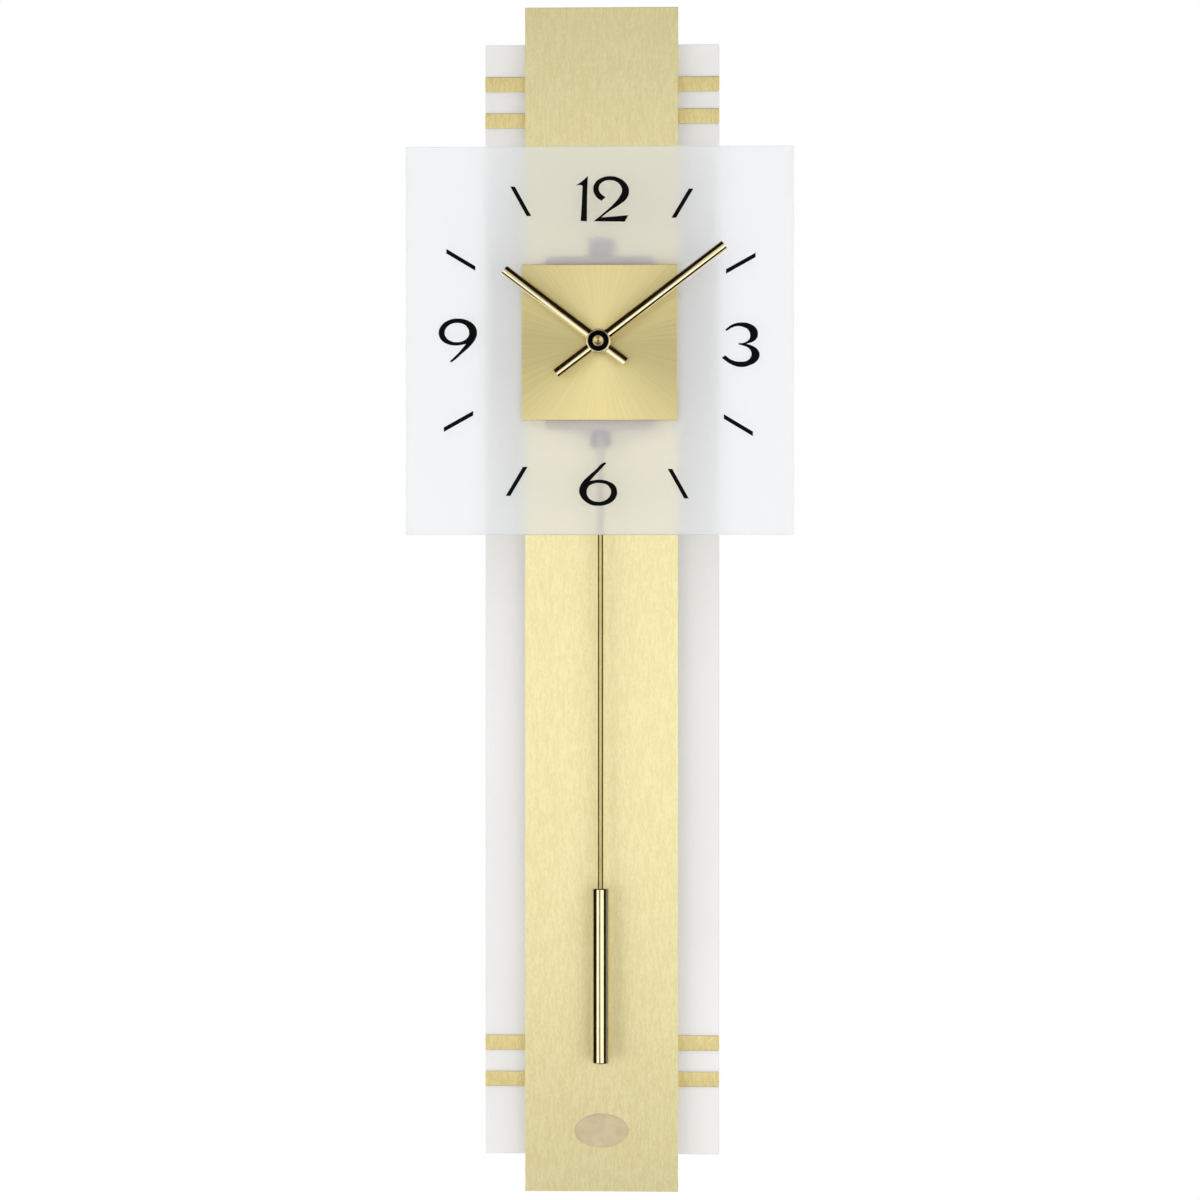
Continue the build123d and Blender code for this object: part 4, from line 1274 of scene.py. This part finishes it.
# Studio: a pale floor well below the clock, two large soft boxes in front of it and a white ground.
# Dark cards, seen only in polished metal, draw the dark lines along the hands, the rod and the bob.
# Each card has its middle, its size, its lean in degrees and its shade of grey.
floor_z = -2.1
floor_radius = 3.0
floor_fade = 1.6
ambient = 0.87
box_power = 7.2
box_size = (2.2, 2.2)
box_spots = {"soft_box_left": (-1.45, -1.55, -0.92), "soft_box_right": (1.25, -1.75, -0.92)}
light_aim = Vector((0, -0.03, -0.35))
card_thick = 0.001
card_tint = (0.02, 0.011, 0.003)
cards = {
    "card_overhead": ((0, -0.85, 0.76), (4.8, 2.5, card_thick), 0, 0.0),
    "card_left": ((-1.2, -0.345, -0.45), (card_thick, 1.41, 1.9), 0, 0.0),
    "card_right": ((1.2, -0.835, -0.45), (card_thick, 1.03, 1.9), 0, 0.0),
    "card_far_right": ((1.2, 0.07, -0.45), (card_thick, 0.78, 1.9), 0, 0.25),
    "card_by_camera": ((-0.7, -2.7, -0.74), (0.9, card_thick, 0.34), 0, 0.2),
    "card_over_right": ((0.317, -2.6, 0.577), (0.24, card_thick, 1.26), 35.0, 0.0),
    "card_over_left": ((-0.652, -2.6, 0.773), (0.26, card_thick, 0.84), -33.4, 0.0),
    "card_grey": ((-0.26, -2.6, 0.208), (0.26, card_thick, 0.54), -36.8, 0.25),
    "card_low": ((0, -1.6, -1.12), (0.9, card_thick, 0.72), 0, 0.0),
    "card_under": ((0, -0.3, -1.45), (1.5, 1.2, card_thick), 0, 0.0),
    "card_on_floor": ((0, -2.9, -1.48), (1.6, 3.2, card_thick), 0, 0.0),
    "card_under_right": ((1.6, -0.5, -1.44), (1.7, 1.8, card_thick), 0, 0.0),
}
floor_values = tone_values((0.82, 0.82, 0.82), (0.86, 0.86, 0.86), (0.6, 0.8))
floor_values["Cloud Scale"] = 2.0
floor_values["Speck Scale"] = 300.0
pale_floor, tree, shader, finish = start_material(
    "pale_floor", cloud_finish, floor_values, {"Specular IOR Level": 0.0}
)
place = add_node(tree, "TexCoord")
flat = add_node(tree, "Mapping", {"Scale": (1, 1, 0)})
reach = add_node(tree, "VectorMath", operation="LENGTH")
fade = add_node(
    tree,
    "MapRange",
    {"From Min": floor_fade, "From Max": floor_radius, "To Min": 1.0, "To Max": 0.0},
)
tree.links.new(place.outputs["Object"], finish.inputs["Place"])
tree.links.new(place.outputs["Object"], flat.inputs["Vector"])
tree.links.new(flat.outputs[0], reach.inputs[0])
tree.links.new(reach.outputs["Value"], fade.inputs["Value"])
tree.links.new(fade.outputs[0], shader.inputs["Alpha"])
bpy.ops.mesh.primitive_circle_add(
    vertices=128, radius=floor_radius, fill_type="NGON", location=(0, 0, floor_z)
)
floor = bpy.context.object
floor.name = "studio_floor"
floor.data.materials.append(pale_floor)
floor.visible_glossy = False
for name, (middle, size, lean, shade) in cards.items():
    bpy.ops.mesh.primitive_cube_add(
        size=1, location=middle, rotation=(0, math.radians(lean), 0), scale=size
    )
    card = settle(name)
    paper = bpy.data.materials.new(name + "_paper")
    paper.use_nodes = True
    shader = paper.node_tree.nodes["Principled BSDF"]
    shader.inputs["Base Color"].default_value = (*(shade + tint for tint in card_tint), 1)
    shader.inputs["Specular IOR Level"].default_value = 0.0
    card.data.materials.append(paper)
    card.visible_camera = False
    card.visible_diffuse = False
    card.visible_transmission = False
    card.visible_shadow = False
for name, spot in box_spots.items():
    aim = light_aim - Vector(spot)
    bpy.ops.object.light_add(
        type="AREA", location=spot, rotation=aim.to_track_quat("-Z", "Y").to_euler()
    )
    soft_box = bpy.context.object
    soft_box.name = name
    soft_box.data.shape = "RECTANGLE"
    soft_box.data.size, soft_box.data.size_y = box_size
    soft_box.data.energy = box_power
    soft_box.visible_camera = False
world = bpy.data.worlds.new("white_ground")
scene.world = world
world.use_nodes = True
tree = world.node_tree
ground = tree.nodes["Background"]
ground.inputs["Color"].default_value = (1, 1, 1, 1)
ray = add_node(tree, "LightPath")
seen = add_node(tree, "Math", operation="MAXIMUM")
mirrored = add_node(tree, "Math", operation="MAXIMUM")
strength = add_node(tree, "Mix", {2: ambient, 3: 1.0}, data_type="FLOAT")
tree.links.new(ray.outputs["Is Camera Ray"], seen.inputs[0])
tree.links.new(ray.outputs["Is Transmission Ray"], seen.inputs[1])
tree.links.new(seen.outputs[0], mirrored.inputs[0])
tree.links.new(ray.outputs["Is Glossy Ray"], mirrored.inputs[1])
tree.links.new(mirrored.outputs[0], strength.inputs[0])
tree.links.new(strength.outputs[0], ground.inputs["Strength"])


# Camera: a little above the middle of the sheet and a little to the right, with a long lens.
# It stands 2.3 m from the sheet, as the change of scale from panel to glass shows.
camera_distance = 2.297
camera_turn = math.radians(2.2)
camera_dip = math.radians(0.4)
camera_aim = Vector((-0.0009, -0.022, -0.27505))
film_width = 36
lens_length = 120
back = Vector(
    (
        math.sin(camera_turn) * math.cos(camera_dip),
        -math.cos(camera_turn) * math.cos(camera_dip),
        math.sin(camera_dip),
    )
)
bpy.ops.object.camera_add(
    location=camera_aim + back * camera_distance,
    rotation=(math.pi / 2 - camera_dip, 0, camera_turn),
)
camera = bpy.context.object
camera.data.sensor_width = film_width
camera.data.lens = lens_length
scene.camera = camera
